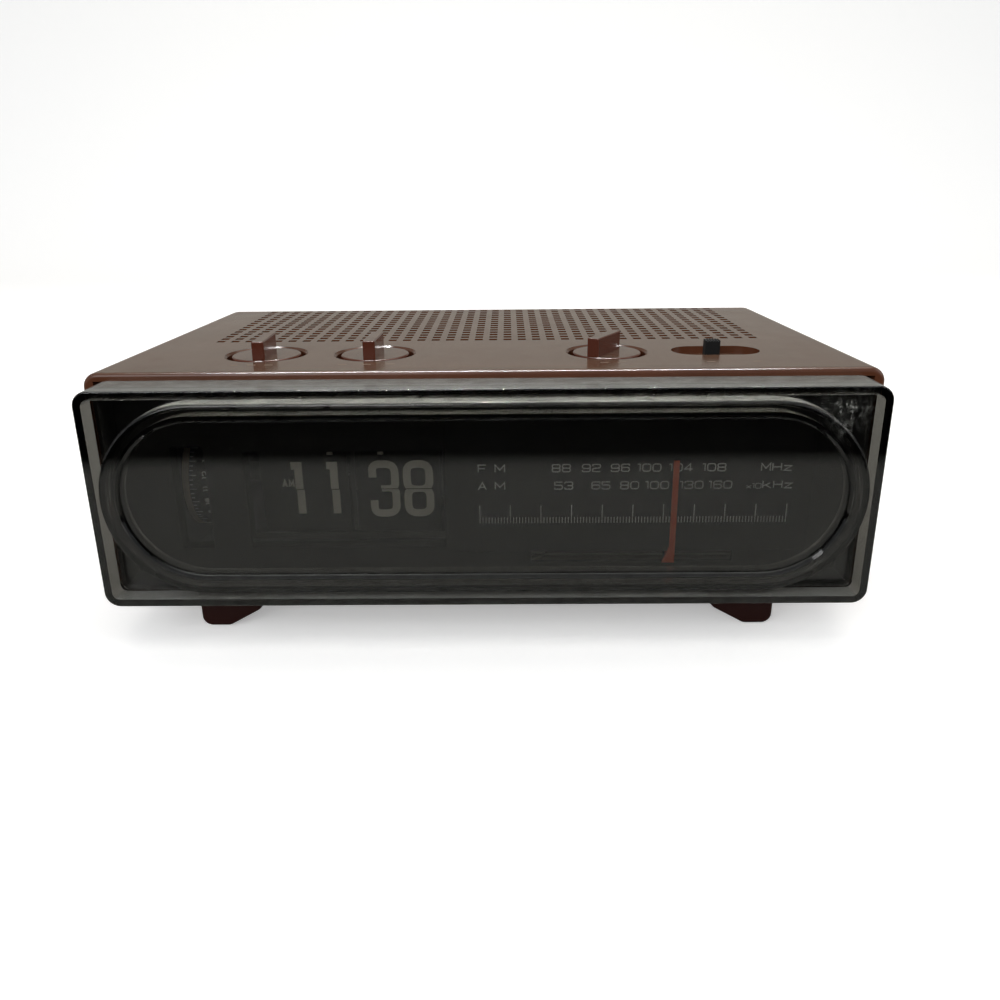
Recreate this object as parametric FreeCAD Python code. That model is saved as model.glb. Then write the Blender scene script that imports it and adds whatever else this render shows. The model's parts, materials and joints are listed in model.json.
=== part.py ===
"""Flip-leaf alarm clock with an AM/FM radio in one moulded cabinet.

Millimetres. +Z up, +X to the right seen from the front, the front faces -Y.
The origin is on the ground, under the middle of the whole object.
"""
import FreeCAD, Part
import math
import os

V = FreeCAD.Vector

# ---------------------------------------------------------------- driving dimensions
WIDTH = 280.0                 # lens, side to side
FRONT_HALF, BACK_HALF = 143.8, 138.5   # cabinet half width; the sides draw in to the back
DEPTH = 172.0                 # lens front to cabinet back
FOOT_HEIGHT = 18.3            # ground to the underside of the cabinet
LENS_HEIGHT = 81.7
LENS_DEPTH = 16.4
CABINET_HEIGHT = 84.5
WALL = 3.0
SIDE_WALL = 4.1
SIDE_ROUND, CORNER_ROUND, FRONT_ROUND = 5.5, 6.5, 1.6   # cabinet: side edges, back corners, front edge
KNOB_INNER, KNOB_OUTER = 143.7, 152.0  # inner and outer face of the side knobs, from the middle

FRONT = -DEPTH / 2
BACK = DEPTH / 2
SIDE = WIDTH / 2
FLOOR = FOOT_HEIGHT
TOP = FLOOR + CABINET_HEIGHT
CABINET_FRONT = FRONT + LENS_DEPTH
HOLE_INNER, HOLE_OUTER = BACK_HALF - 7, FRONT_HALF + 1   # reach of the cuts through a side wall
INNER_TOP = TOP - WALL
INNER_BACK = BACK - WALL
COVER_THICK = 2.5
COVER_TOP = FLOOR + COVER_THICK
GAP = 0.3                     # space kept between pieces that move past each other
RUNNING = 0.05                # radial clearance of a shaft in its bearing

# speaker grille in the cabinet top
GRILLE_COLUMNS = 38
GRILLE_ROWS = 15
GRILLE_PITCH = 6.12
GRILLE_HOLE = 3.4
GRILLE_FRONT_ROW = -7.8

# rotary controls on the top
CONTROL_Y = -36.2
SLEEP_X, FUNCTION_X, VOLUME_X = -85.9, -43.0, 48.1
SLEEP_TURN, FUNCTION_TURN, VOLUME_TURN = 2.0, -1.5, -31.0   # degrees about +Z at rest
RECESS_R = 16.1
WELL_R = 15.2
WELL_DEPTH = 6.0
WELL_FLOOR = 2.0
BEVEL_DEPTH = 0.9
DISC_R = 13.3
DISC_THICK = 5.4
GRIP_LENGTH = 20.4
GRIP_THICK = 4.7
GRIP_HEIGHT = 7.2
STEM_R = 3.0
STEM_LOW = 82.5

# band slide switch on the top
SLOT_X, SLOT_Y = 90.8, -35.6
SLOT_LENGTH, SLOT_WIDTH, SLOT_DEPTH = 34.4, 18.0, 3.0
BUTTON_X = 89.3
BUTTON_WIDE, BUTTON_DEEP = 5.8, 4.6
BUTTON_RISE = 4.3
BUTTON_TRAVEL = 6.6

# steel plate that carries the controls under the cabinet top
PLATE_Z = 90.0
PLATE_THICK = 1.2
PLATE_TOP = PLATE_Z + PLATE_THICK

# lens: rim, raised stadium ring and window pane
RIM_WALL = 3.0
RIM_CORNER = 5.5
RIM_EDGE = 0.6
RING_MID_Z = FLOOR + 40.9
RING_HALF_X, RING_HALF_Z = 136.65, 36.0
RING_WIDE = 6.8
RING_SETBACK = 0.6
RING_WALL = 2.2               # the ring is hollow from behind
RING_EDGE, RING_CHAMFER = 1.3, 0.9
PANE_FRONT, PANE_BACK = 2.4, 5.0       # from the lens front
POCKET_DEPTH = 7.0
SKIN = 2.0

# dial panel and scale
PANEL_Y = FRONT + 20.0
PANEL_THICK = 2.0
PANEL_HALF = 138.6
COLLAR_FRONT = FRONT + POCKET_DEPTH + SKIN + 0.2      # the collar stands inside the lens rim
COLLAR_WALL = 1.5
REVEAL_BACK = PANEL_Y + 6.4
CLOCK_WINDOW = (-89.7, -15.1, 33.3, 71.9)
ALARM_WINDOW = (-116.6, -104.2, 33.3, 74.0)
SCALE_LEFT, SCALE_RIGHT = -14.0, 122.4
SCALE_LOW, SCALE_HIGH = 31.6, 92.0
SCALE_THICK = 1.2

# flip clock: every drum turns on one shaft along X
AXIS_Y, AXIS_Z = -36.0, 54.2
AXLE_R = 2.0
HINGE_Y = -58.2               # line on which the displayed leaves fall
LEAF_THICK = 0.4
LEAF_HEIGHT = 17.0
LEAF_FAN_R = 20.2
HOUR_SPAN = (-86.0, -52.5)
MINUTE_SPAN = (-49.4, -17.2)
HOUR_LEAVES = 24
MINUTE_LEAVES = 60
SIDE_PLATES = (-120.6, -101.0, -51.6, -15.4)
SIDE_PLATE_THICK = 1.6
FRAME_LOW, FRAME_HIGH = 23.0, 76.8
FRAME_FRONT, FRAME_BACK = -56.5, 0.0
CATCH_X = (-59.0, -39.6)
CATCH_WIDE = 2.2
ALARM_SPAN = (-117.5, -102.5)
ALARM_R = 21.0

# clock gear train
MODULE = 0.8
MINUTE_TEETH, TIME_TEETH, MOTOR_TEETH = 48, 24, 12
MESH_SLACK = 0.1
GEAR_X0, GEAR_X1 = -13.4, -11.4
TIME_REACH = MODULE * (MINUTE_TEETH + TIME_TEETH) / 2 + MESH_SLACK
MOTOR_REACH = MODULE * (MINUTE_TEETH + MOTOR_TEETH) / 2 + MESH_SLACK
TIME_Y = AXIS_Y + TIME_REACH
MOTOR_ANGLE = math.radians(-50.0)
MOTOR_Y = AXIS_Y + MOTOR_REACH * math.cos(MOTOR_ANGLE)
MOTOR_Z = AXIS_Z + MOTOR_REACH * math.sin(MOTOR_ANGLE)

# tuning drive: the dial cord runs in one level plane
CORD_Z = 27.5
CORD_R = 0.4
CORD_FRONT_Y = -61.0
CORD_LEFT_X, CORD_RIGHT_X = 12.0, 120.0
CORD_BACK_Y = 10.0
IDLER_R = 5.0
DRUM_R = 20.85
SPINDLE_R = 3.5
TUNING_Y = -30.0
TUNING_Z = CORD_Z + SPINDLE_R
DRUM_X = CORD_LEFT_X + DRUM_R
DRUM_Y = CORD_BACK_Y - DRUM_R
POINTER_X = 70.9
POINTER_Y = FRONT + 16.0
RAIL_Z = 33.0
RAIL_R = 1.5
SIDE_KNOB_R = 11.0
HOOK_HALF = 1.3

# radio board and speaker
BOARD = (14.0, 132.0, -45.0, 60.0)
BOARD_Z = 49.0
BOARD_THICK = 1.6
ROD_Y, ROD_Z, ROD_R = 74.0, 46.0, 5.0
ROD_STANDS = (-56.0, 60.0)
TRANSFORMER_SCREWS = ((-128.0, 40.0), (-80.0, 40.0))
SPEAKER_X, SPEAKER_Y = 0.0, 35.0
SPEAKER_HALF = 47.0
SPEAKER_TOP = 97.8
FOOT_OUTER, FOOT_INNER = 112.0, 80.0
TOE_ROUND = 4.0
FOOT_LENGTH = 26.0
FOOT_FRONT_Y = -69.4
PAD_THICK = 0.8
INLET_X, INLET_Z = -100.0, 36.0
INLET_R = 6.0
SCREW_R = 1.5


# ---------------------------------------------------------------- shape helpers
def box(x0, x1, y0, y1, z0, z1):
    """Box between two corners."""
    return Part.makeBox(x1 - x0, y1 - y0, z1 - z0, V(x0, y0, z0))


def rod_x(radius, x0, x1, y, z):
    """Cylinder along X."""
    return Part.makeCylinder(radius, x1 - x0, V(x0, y, z), V(1, 0, 0))


def rod_y(radius, y0, y1, x, z):
    """Cylinder along Y."""
    return Part.makeCylinder(radius, y1 - y0, V(x, y0, z), V(0, 1, 0))


def rod_z(radius, z0, z1, x, y):
    """Cylinder along Z."""
    return Part.makeCylinder(radius, z1 - z0, V(x, y, z0), V(0, 0, 1))


def cone_z(r0, r1, z0, z1, x, y):
    """Cone along Z from radius r0 at z0 to radius r1 at z1."""
    return Part.makeCone(r0, r1, z1 - z0, V(x, y, z0), V(0, 0, 1))


def join(shapes):
    """One solid from several that meet."""
    return shapes[0].multiFuse(shapes[1:]).removeSplitter()


def round_edges(shape, radius, wanted):
    """Fillet the edges whose middle point passes the test."""
    picked = []
    for edge in shape.Edges:
        middle = edge.valueAt((edge.FirstParameter + edge.LastParameter) / 2)
        if wanted(middle, edge):
            picked.append(edge)
    return shape.makeFillet(radius, picked) if picked else shape


def near(a, b):
    """True when two lengths are equal."""
    return abs(a - b) < 1e-4


def prism_y(points, y0, y1):
    """Polygon of (x, z) points extruded along Y."""
    wire = Part.makePolygon([V(x, y0, z) for x, z in points + points[:1]])
    return Part.Face(wire).extrude(V(0, y1 - y0, 0))


def tapered_block(front_half, back_half, y0, y1, z0, z1):
    """Block whose sides draw in from the front to the back."""
    corners = [V(-front_half, y0, z0), V(front_half, y0, z0), V(back_half, y1, z0), V(-back_half, y1, z0)]
    wire = Part.makePolygon(corners + corners[:1])
    return Part.Face(wire).extrude(V(0, 0, z1 - z0))


def stadium_y(half_x, half_z, mid_z, y0, y1):
    """Slab with straight top and bottom and round ends, extruded along Y."""
    flat = half_x - half_z
    high, low = mid_z + half_z, mid_z - half_z
    edges = [
        Part.LineSegment(V(-flat, y0, high), V(flat, y0, high)).toShape(),
        Part.Arc(V(flat, y0, high), V(half_x, y0, mid_z), V(flat, y0, low)).toShape(),
        Part.LineSegment(V(flat, y0, low), V(-flat, y0, low)).toShape(),
        Part.Arc(V(-flat, y0, low), V(-half_x, y0, mid_z), V(-flat, y0, high)).toShape(),
    ]
    return Part.Face(Part.Wire(edges)).extrude(V(0, y1 - y0, 0))


def stadium_z(length, width, x, y, z0, z1):
    """Upright slab with a stadium outline, long along X."""
    r = width / 2
    flat = length / 2 - r
    ends = [rod_z(r, z0, z1, x - flat, y), rod_z(r, z0, z1, x + flat, y)]
    return join([box(x - flat, x + flat, y - r, y + r, z0, z1)] + ends)


def gear_x(teeth, x0, x1, y, z, turn=0.0):
    """Spur gear along X with straight-sided teeth; turn is in degrees."""
    pitch_r = MODULE * teeth / 2
    step = 2 * math.pi / teeth
    outline = ((-0.29, -1.2), (-0.20, 0.0), (-0.10, 0.85), (0.10, 0.85), (0.20, 0.0), (0.29, -1.2))
    points = []
    for tooth in range(teeth):
        for share, height in outline:
            angle = math.radians(turn) + step * (tooth + share)
            radius = pitch_r + height * MODULE
            points.append(V(x0, y + radius * math.cos(angle), z + radius * math.sin(angle)))
    wire = Part.makePolygon(points + points[:1])
    return Part.Face(wire).extrude(V(x1 - x0, 0, 0))


def ring_of_holes(count, radius, hole_r, z0, z1, x, y):
    """Cylinders along Z on a circle."""
    holes = []
    for index in range(count):
        angle = 2 * math.pi * (index + 0.5) / count
        holes.append(rod_z(hole_r, z0, z1, x + radius * math.cos(angle), y + radius * math.sin(angle)))
    return holes


def save(name, shape):
    """Write one node."""
    shape.exportStep("parts/" + name + ".step")


# ---------------------------------------------------------------- cabinet
COVER_SCREWS = [(sx * x, y) for sx in (-1, 1) for x, y in ((132.8, -52.0), (130.5, 74.0))]
PLATE_SCREWS = [(-64.5, -30.0), (2.0, CONTROL_Y), (70.5, -28.0), (110.5, -28.0)]
SPEAKER_SCREWS = [(SPEAKER_X + sx * 42.0, SPEAKER_Y + sy * 42.0) for sx in (-1, 1) for sy in (-1, 1)]
BOARD_POSTS = [(20.0, -41.0), (110.0, -41.0), (20.0, 54.0), (126.0, 54.0)]
CLOCK_POSTS = [(-110.5, -50.0), (-110.5, -6.0), (-34.0, -50.0), (-34.0, -6.0)]
CONTROLS = (SLEEP_X, FUNCTION_X, VOLUME_X)


def grille_holes():
    """Square holes through the cabinet top."""
    half = GRILLE_HOLE / 2
    first_x = -GRILLE_PITCH * (GRILLE_COLUMNS - 1) / 2
    holes = []
    for row in range(GRILLE_ROWS):
        y = GRILLE_FRONT_ROW + row * GRILLE_PITCH
        for column in range(GRILLE_COLUMNS):
            x = first_x + column * GRILLE_PITCH
            holes.append(box(x - half, x + half, y - half, y + half, INNER_TOP - 1, TOP + 1))
    return Part.makeCompound(holes)


def slot_outline(grow, z0, z1):
    """Slide switch recess: a stadium, wider by grow all round."""
    return stadium_z(SLOT_LENGTH + 2 * grow, SLOT_WIDTH + 2 * grow, SLOT_X, SLOT_Y, z0, z1)


def cabinet_shell():
    """Top, sides and back in one moulding, open below and in front."""
    outer = tapered_block(FRONT_HALF, BACK_HALF, CABINET_FRONT, BACK, FLOOR, TOP)
    outer = round_edges(outer, CORNER_ROUND, lambda m, e: near(m.y, BACK) and near(abs(m.x), BACK_HALF))
    outer = round_edges(outer, SIDE_ROUND, lambda m, e: near(m.z, TOP) and abs(m.x) > SIDE and m.y < 60)
    outer = round_edges(outer, FRONT_ROUND, lambda m, e: near(m.y, CABINET_FRONT) and near(m.z, TOP))
    hollow = tapered_block(FRONT_HALF - SIDE_WALL, BACK_HALF - SIDE_WALL, CABINET_FRONT - 1, INNER_BACK,
                           FLOOR - 1, INNER_TOP)
    shell = outer.cut(hollow)
    adds = [rod_z(RECESS_R + 1.6, TOP - WELL_DEPTH - WELL_FLOOR, TOP - 1, x, CONTROL_Y) for x in CONTROLS]
    adds.append(slot_outline(1.6, TOP - SLOT_DEPTH - 1.6, TOP - 1))
    adds += [rod_z(4.5, COVER_TOP, TOP - 1, x, y) for x, y in COVER_SCREWS]
    adds += [rod_z(3.2, PLATE_TOP, TOP - 1, x, y) for x, y in PLATE_SCREWS]
    adds += [rod_z(3.2, SPEAKER_TOP, TOP - 1, x, y) for x, y in SPEAKER_SCREWS]
    shell = join([shell] + adds)
    cuts = []
    for x in CONTROLS:
        cuts.append(cone_z(WELL_R, RECESS_R, TOP - BEVEL_DEPTH, TOP + 0.001, x, CONTROL_Y))
        cuts.append(rod_z(WELL_R, TOP - WELL_DEPTH, TOP - BEVEL_DEPTH + 0.001, x, CONTROL_Y))
        cuts.append(rod_z(STEM_R + 0.6, TOP - 12, TOP, x, CONTROL_Y))
    cuts.append(slot_outline(0.0, TOP - SLOT_DEPTH, TOP + 1))
    cuts.append(box(BUTTON_X - 2.2, BUTTON_X + BUTTON_TRAVEL + 2.2, SLOT_Y - 1.9, SLOT_Y + 1.9, TOP - 8, TOP))
    cuts += [rod_z(SCREW_R, FLOOR, FLOOR + 24, x, y) for x, y in COVER_SCREWS]
    cuts += [rod_z(SCREW_R, PLATE_Z, PLATE_TOP + 6, x, y) for x, y in PLATE_SCREWS]
    cuts += [rod_z(SCREW_R, SPEAKER_TOP - 1, SPEAKER_TOP + 2.5, x, y) for x, y in SPEAKER_SCREWS]
    cuts.append(rod_x(3.6, -HOLE_OUTER, -HOLE_INNER, AXIS_Y, AXIS_Z))
    cuts.append(rod_x(2.6, -HOLE_OUTER, -HOLE_INNER, TIME_Y, AXIS_Z))
    cuts.append(rod_x(SPINDLE_R + 0.6, HOLE_INNER, HOLE_OUTER, TUNING_Y, TUNING_Z))
    cuts.append(rod_y(INLET_R, INNER_BACK - 1, BACK + 1, INLET_X, INLET_Z))
    for tool in cuts:
        shell = shell.cut(tool)
    return shell.cut(grille_holes())


def bottom_cover():
    """Flat cover with the posts that carry the clock and the radio board."""
    inset = SIDE_WALL + GAP
    plate = tapered_block(FRONT_HALF - inset, BACK_HALF - inset, CABINET_FRONT + GAP, INNER_BACK - GAP,
                          FLOOR, COVER_TOP)
    posts = [rod_z(3.4, FLOOR, BOARD_Z, x, y) for x, y in BOARD_POSTS]
    posts += [rod_z(3.4, FLOOR, FRAME_LOW, x, y) for x, y in CLOCK_POSTS]
    for x, y in IDLERS.values():
        posts.append(rod_z(3.0, FLOOR, CORD_Z - 2.3, x, y))
        posts.append(rod_z(1.5, FLOOR, CORD_Z + 2.8, x, y))
    for x in ROD_STANDS:
        posts.append(box(x, x + 4.0, 70.0, 78.0, FLOOR, 48.0))
        posts.append(rod_x(7.5, x, x + 4.0, ROD_Y, ROD_Z))
    cover = join([plate] + posts)
    cover = cover.cut(rod_x(ROD_R, ROD_STANDS[0] - 1, ROD_STANDS[1] + 5, ROD_Y, ROD_Z))
    for x, y in TRANSFORMER_SCREWS:
        cover = cover.cut(rod_z(SCREW_R, FLOOR + 0.6, COVER_TOP + 1, x, y))
    for x, y in COVER_SCREWS:
        cover = cover.cut(rod_z(SCREW_R, FLOOR - 1, COVER_TOP + 1, x, y))
        cover = cover.cut(rod_z(3.2, FLOOR - 1, FLOOR + 1.2, x, y))
    for x, y in CLOCK_POSTS:
        cover = cover.cut(rod_z(SCREW_R, FLOOR + 1, FRAME_LOW + 1, x, y))
    for x, y in BOARD_POSTS:
        cover = cover.cut(rod_z(SCREW_R, BOARD_Z - 9, BOARD_Z + 1, x, y))
    for column in range(9):
        x = -34.0 + column * 9.0
        slot = box(x, x + 3.0, 20.0, 52.0, FLOOR - 1, COVER_TOP + 1)
        cover = cover.cut(slot)
    return cover


def foot(side, y0):
    """Moulded foot: steep outside, long slope inside, rounded toe."""
    outline = [(FOOT_INNER, FLOOR), (FOOT_OUTER, FLOOR), (FOOT_OUTER, PAD_THICK),
               (FOOT_OUTER - 11.0, PAD_THICK), (FOOT_INNER + 9.0, 7.5)]
    body = prism_y([(side * x, z) for x, z in outline], y0, y0 + FOOT_LENGTH)
    body = round_edges(body, TOE_ROUND, lambda m, e: near(m.y, y0 + FOOT_LENGTH / 2) and m.z < FLOOR - 1)
    return round_edges(body, 1.2, lambda m, e: near(m.z, PAD_THICK) and not near(m.y, y0 + FOOT_LENGTH / 2))


def foot_pad(side, y0):
    """Rubber pad under one foot."""
    x = side * (FOOT_OUTER - 7.4)
    pad = box(x - 2.9, x + 2.9, y0 + 4, y0 + FOOT_LENGTH - 4, 0, PAD_THICK)
    return round_edges(pad, 1.2, lambda m, e: near(m.z, PAD_THICK / 2))


def on_each_foot(make):
    """The same piece at all four feet; the rear ones mirror the front ones."""
    places = [(side, y0) for side in (-1, 1) for y0 in (FOOT_FRONT_Y, -FOOT_FRONT_Y - FOOT_LENGTH)]
    return Part.makeCompound([make(side, y0) for side, y0 in places])


# ---------------------------------------------------------------- lens and dial
def rounded_tray(half_x, z0, z1, radius, y0, y1):
    """Rectangular block along Y with four rounded corners."""
    body = box(-half_x, half_x, y0, y1, z0, z1)
    return round_edges(body, radius, lambda m, e: near(abs(m.x), half_x) and (near(m.z, z0) or near(m.z, z1)))


def front_lens():
    """Clear moulded cover: deep rim, raised ring hollow from behind, and sunk pane."""
    top = FLOOR + LENS_HEIGHT
    outer = rounded_tray(SIDE, FLOOR, top, RIM_CORNER, FRONT, CABINET_FRONT)
    outer = round_edges(outer, RIM_EDGE, lambda m, e: near(m.y, FRONT))
    inside = (SIDE - RIM_WALL, FLOOR + RIM_WALL, top - RIM_WALL, RIM_CORNER - RIM_WALL + 0.1)
    behind_y = FRONT + POCKET_DEPTH + SKIN
    lens = outer.cut(rounded_tray(*inside, FRONT - 1, FRONT + POCKET_DEPTH))
    lens = lens.cut(rounded_tray(*inside, behind_y, CABINET_FRONT + 1))
    ring_y = FRONT + RING_SETBACK
    ring = stadium_y(RING_HALF_X, RING_HALF_Z, RING_MID_Z, ring_y, behind_y)
    lens = lens.fuse(round_edges(ring, RING_EDGE, lambda m, e: near(m.y, ring_y)))
    inner_x, inner_z = RING_HALF_X - RING_WIDE, RING_HALF_Z - RING_WIDE
    lens = lens.cut(stadium_y(inner_x, inner_z, RING_MID_Z, FRONT - 1, FRONT + PANE_FRONT))
    rim = [e for e in lens.Edges if near(e.CenterOfMass.y, ring_y) and e.BoundBox.XMax < inner_x + 0.1
           and e.BoundBox.XMin > -inner_x - 0.1 and e.BoundBox.YLength < 0.01]
    lens = lens.makeChamfer(RING_CHAMFER, rim)
    lens = lens.cut(stadium_y(inner_x, inner_z, RING_MID_Z, FRONT + PANE_BACK, behind_y + 1))
    groove_y = ring_y + RING_WALL + 0.2
    groove = stadium_y(RING_HALF_X - RING_WALL, RING_HALF_Z - RING_WALL, RING_MID_Z, groove_y, behind_y + 1)
    core = stadium_y(inner_x + RING_WALL, inner_z + RING_WALL, RING_MID_Z, groove_y - 1, behind_y + 2)
    return lens.cut(groove.cut(core)).removeSplitter()


def window_reveal(window, wall, y0, y1):
    """Thin walled tube behind a window of the dial panel."""
    x0, x1, z0, z1 = window
    outside = box(x0 - wall, x1 + wall, y0, y1, z0 - wall, z1 + wall)
    return outside.cut(box(x0, x1, y0 - 1, y1 + 1, z0, z1))


def dial_panel():
    """Black panel behind the lens, with a window for the clock and one for the alarm time."""
    back = PANEL_Y + PANEL_THICK
    panel = box(-PANEL_HALF, PANEL_HALF, PANEL_Y, back, FLOOR + 3.2, TOP - 5.3)
    reach = SIDE - RIM_WALL - GAP
    low, high = FLOOR + RIM_WALL + GAP, FLOOR + LENS_HEIGHT - RIM_WALL - GAP
    collar = rounded_tray(reach, low, high, RIM_CORNER - RIM_WALL, COLLAR_FRONT, PANEL_Y + 0.5)
    clear = reach - COLLAR_WALL
    bore = box(-clear, clear, COLLAR_FRONT - 1, PANEL_Y, low + COLLAR_WALL, high - COLLAR_WALL)
    panel = panel.fuse(collar.cut(bore))
    for window in (CLOCK_WINDOW, ALARM_WINDOW):
        panel = panel.fuse(window_reveal(window, 1.2, back - 0.5, REVEAL_BACK))
        x0, x1, z0, z1 = window
        panel = panel.cut(box(x0, x1, PANEL_Y - 1, REVEAL_BACK + 1, z0, z1))
    slot = box(18.0, 95.0, PANEL_Y - 1, back + 1, 26.6, 31.0)
    for x in (10.0, 108.0):
        clip = box(x, x + 2.4, back - 0.5, CORD_FRONT_Y + 2.6, RAIL_Z - 2.6, RAIL_Z + 2.6)
        panel = panel.fuse(clip.cut(rod_x(RAIL_R, x - 1, x + 4, CORD_FRONT_Y, RAIL_Z)))
    return panel.cut(slot).removeSplitter()


def scale_plate():
    """Printed dial plate on the front of the panel."""
    plate = box(SCALE_LEFT, SCALE_RIGHT, PANEL_Y - SCALE_THICK, PANEL_Y, SCALE_LOW, SCALE_HIGH)
    return round_edges(plate, 0.35, lambda m, e: near(m.y, PANEL_Y - SCALE_THICK))


# ---------------------------------------------------------------- controls on the top
def grip_knob(x, turn):
    """Round knob, flush with the cabinet top, with a raised bar grip."""
    low = TOP - DISC_THICK
    disc = rod_z(DISC_R, low, TOP, x, CONTROL_Y)
    disc = round_edges(disc, 0.7, lambda m, e: near(m.z, TOP))
    y0 = CONTROL_Y - DISC_R + 0.35
    half = GRIP_THICK / 2
    grip = box(x - half, x + half, y0, y0 + GRIP_LENGTH, TOP - 2, TOP + GRIP_HEIGHT)
    grip = round_edges(grip, 0.5, lambda m, e: m.z > TOP)
    stem = rod_z(STEM_R, STEM_LOW, TOP - 2, x, CONTROL_Y)
    stem = round_edges(stem, 0.4, lambda m, e: near(m.z, STEM_LOW))
    knob = join([disc, grip, stem])
    knob.rotate(V(x, CONTROL_Y, 0), V(0, 0, 1), turn)
    return knob


def control_body(shape, x):
    """Control housing with a threaded bush round the stem."""
    bush = rod_z(STEM_R + 1.4, PLATE_Z - 0.5, PLATE_TOP + 2.0, x, CONTROL_Y)
    nut = Part.makePolygon([V(x + 6 * math.cos(k * math.pi / 3), CONTROL_Y + 6 * math.sin(k * math.pi / 3), PLATE_TOP)
                            for k in range(7)])
    nut = Part.Face(nut).extrude(V(0, 0, 1.6))
    body = join([shape, bush, nut])
    return body.cut(rod_z(STEM_R + RUNNING, 82.0, TOP, x, CONTROL_Y))


def sleep_timer():
    """Clockwork sleep timer can."""
    can = rod_z(14.0, 78.2, PLATE_Z, SLEEP_X, CONTROL_Y)
    return control_body(round_edges(can, 1.0, lambda m, e: near(m.z, 78.2)), SLEEP_X)


def function_switch():
    """Rotary function switch with a row of tags at the back."""
    wafer = box(FUNCTION_X - 13, FUNCTION_X + 13, CONTROL_Y - 13, CONTROL_Y + 13, 79.0, PLATE_Z)
    wafer = round_edges(wafer, 3.0, lambda m, e: near(m.z, (79.0 + PLATE_Z) / 2))
    tags = [box(FUNCTION_X - 10 + 4 * k, FUNCTION_X - 8.6 + 4 * k, CONTROL_Y + 12, CONTROL_Y + 17, 82.0, 82.8)
            for k in range(6)]
    return control_body(join([wafer] + tags), FUNCTION_X)


def volume_control():
    """Round volume potentiometer with three tags."""
    can = rod_z(8.5, 80.5, PLATE_Z, VOLUME_X, CONTROL_Y)
    tags = [box(VOLUME_X - 5.8 + 5 * k, VOLUME_X - 4.2 + 5 * k, CONTROL_Y + 7, CONTROL_Y + 13, 84.0, 84.8)
            for k in range(3)]
    return control_body(join([can] + tags), VOLUME_X)


def control_plate():
    """Steel plate with clearance for the control bushes and the fixing screws."""
    plate = box(-104.0, 116.0, -55.0, -17.0, PLATE_Z, PLATE_TOP)
    plate = round_edges(plate, 3.0, lambda m, e: near(m.z, PLATE_Z + PLATE_THICK / 2))
    for x in CONTROLS:
        plate = plate.cut(rod_z(STEM_R + 1.4, PLATE_Z - 1, PLATE_TOP + 1, x, CONTROL_Y))
    for x, y in PLATE_SCREWS:
        plate = plate.cut(rod_z(SCREW_R, PLATE_Z - 1, PLATE_TOP + 1, x, y))
    return plate


def band_switch_body():
    """Slide switch housing on the control plate."""
    low, high = PLATE_TOP, TOP - SLOT_DEPTH - 2.6
    body = box(SLOT_X - 13, SLOT_X + 13, SLOT_Y - 5, SLOT_Y + 5, low, high)
    x0, x1 = BUTTON_X - 2.2, BUTTON_X + BUTTON_TRAVEL + 2.2
    travel = box(x0, x1, SLOT_Y - 1.9, SLOT_Y + 1.9, low + 1.5, high + 1)
    return body.cut(travel)


def band_button():
    """Ribbed push-along button with its stem."""
    low = TOP - SLOT_DEPTH + GAP
    high = TOP + BUTTON_RISE
    half = BUTTON_WIDE / 2
    cap = box(BUTTON_X - half, BUTTON_X + half, SLOT_Y - BUTTON_DEEP / 2, SLOT_Y + BUTTON_DEEP / 2, low, high)
    cap = round_edges(cap, 0.4, lambda m, e: near(m.z, high) or near(abs(m.x - BUTTON_X), half))
    for rib in range(5):
        x = BUTTON_X - half + 0.62 + rib * (BUTTON_WIDE - 0.5) / 5
        cap = cap.cut(box(x, x + 0.5, SLOT_Y - BUTTON_DEEP, SLOT_Y + BUTTON_DEEP, high - 0.6, high + 1))
    stem = box(BUTTON_X - 1.6, BUTTON_X + 1.6, SLOT_Y - 1.4, SLOT_Y + 1.4, PLATE_TOP + 2.0, low + 0.5)
    return join([cap, stem])


# ---------------------------------------------------------------- flip clock
def clock_frame():
    """Moulded frame: base, four side plates and two cross bars."""
    left = SIDE_PLATES[0]
    right = SIDE_PLATES[-1] + SIDE_PLATE_THICK
    parts = [box(left, right, FRAME_FRONT, FRAME_BACK, FRAME_LOW, FRAME_LOW + 2)]
    for x in SIDE_PLATES:
        parts.append(box(x, x + SIDE_PLATE_THICK, FRAME_FRONT, FRAME_BACK, FRAME_LOW, FRAME_HIGH))
    parts.append(box(SIDE_PLATES[1], right, -56.5, -50.0, FRAME_HIGH - 1.8, FRAME_HIGH))
    parts.append(box(SIDE_PLATES[1], right, -58.5, -55.5, 33.6, 36.4))
    frame = join(parts)
    cuts = [rod_x(AXLE_R, left - 1, SIDE_PLATES[2] + 3, AXIS_Y, AXIS_Z)]
    cuts.append(rod_x(3.0 + RUNNING, left - 1, left + 3, AXIS_Y, AXIS_Z))
    cuts.append(rod_x(4.0 + RUNNING, SIDE_PLATES[3] - 1, right + 1, AXIS_Y, AXIS_Z))
    cuts.append(rod_x(AXLE_R + RUNNING, left - 1, right + 1, TIME_Y, AXIS_Z))
    cuts.append(rod_x(5.6, SIDE_PLATES[3] - 1, right + 1, MOTOR_Y, MOTOR_Z))
    cuts += [rod_z(SCREW_R, FRAME_LOW - 1, FRAME_LOW + 3, x, y) for x, y in CLOCK_POSTS]
    for tool in cuts:
        frame = frame.cut(tool)
    return frame


def clock_axle():
    """Fixed steel axle that the drums turn on."""
    return rod_x(AXLE_R, -115.0, -12.0, AXIS_Y, AXIS_Z)


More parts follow.
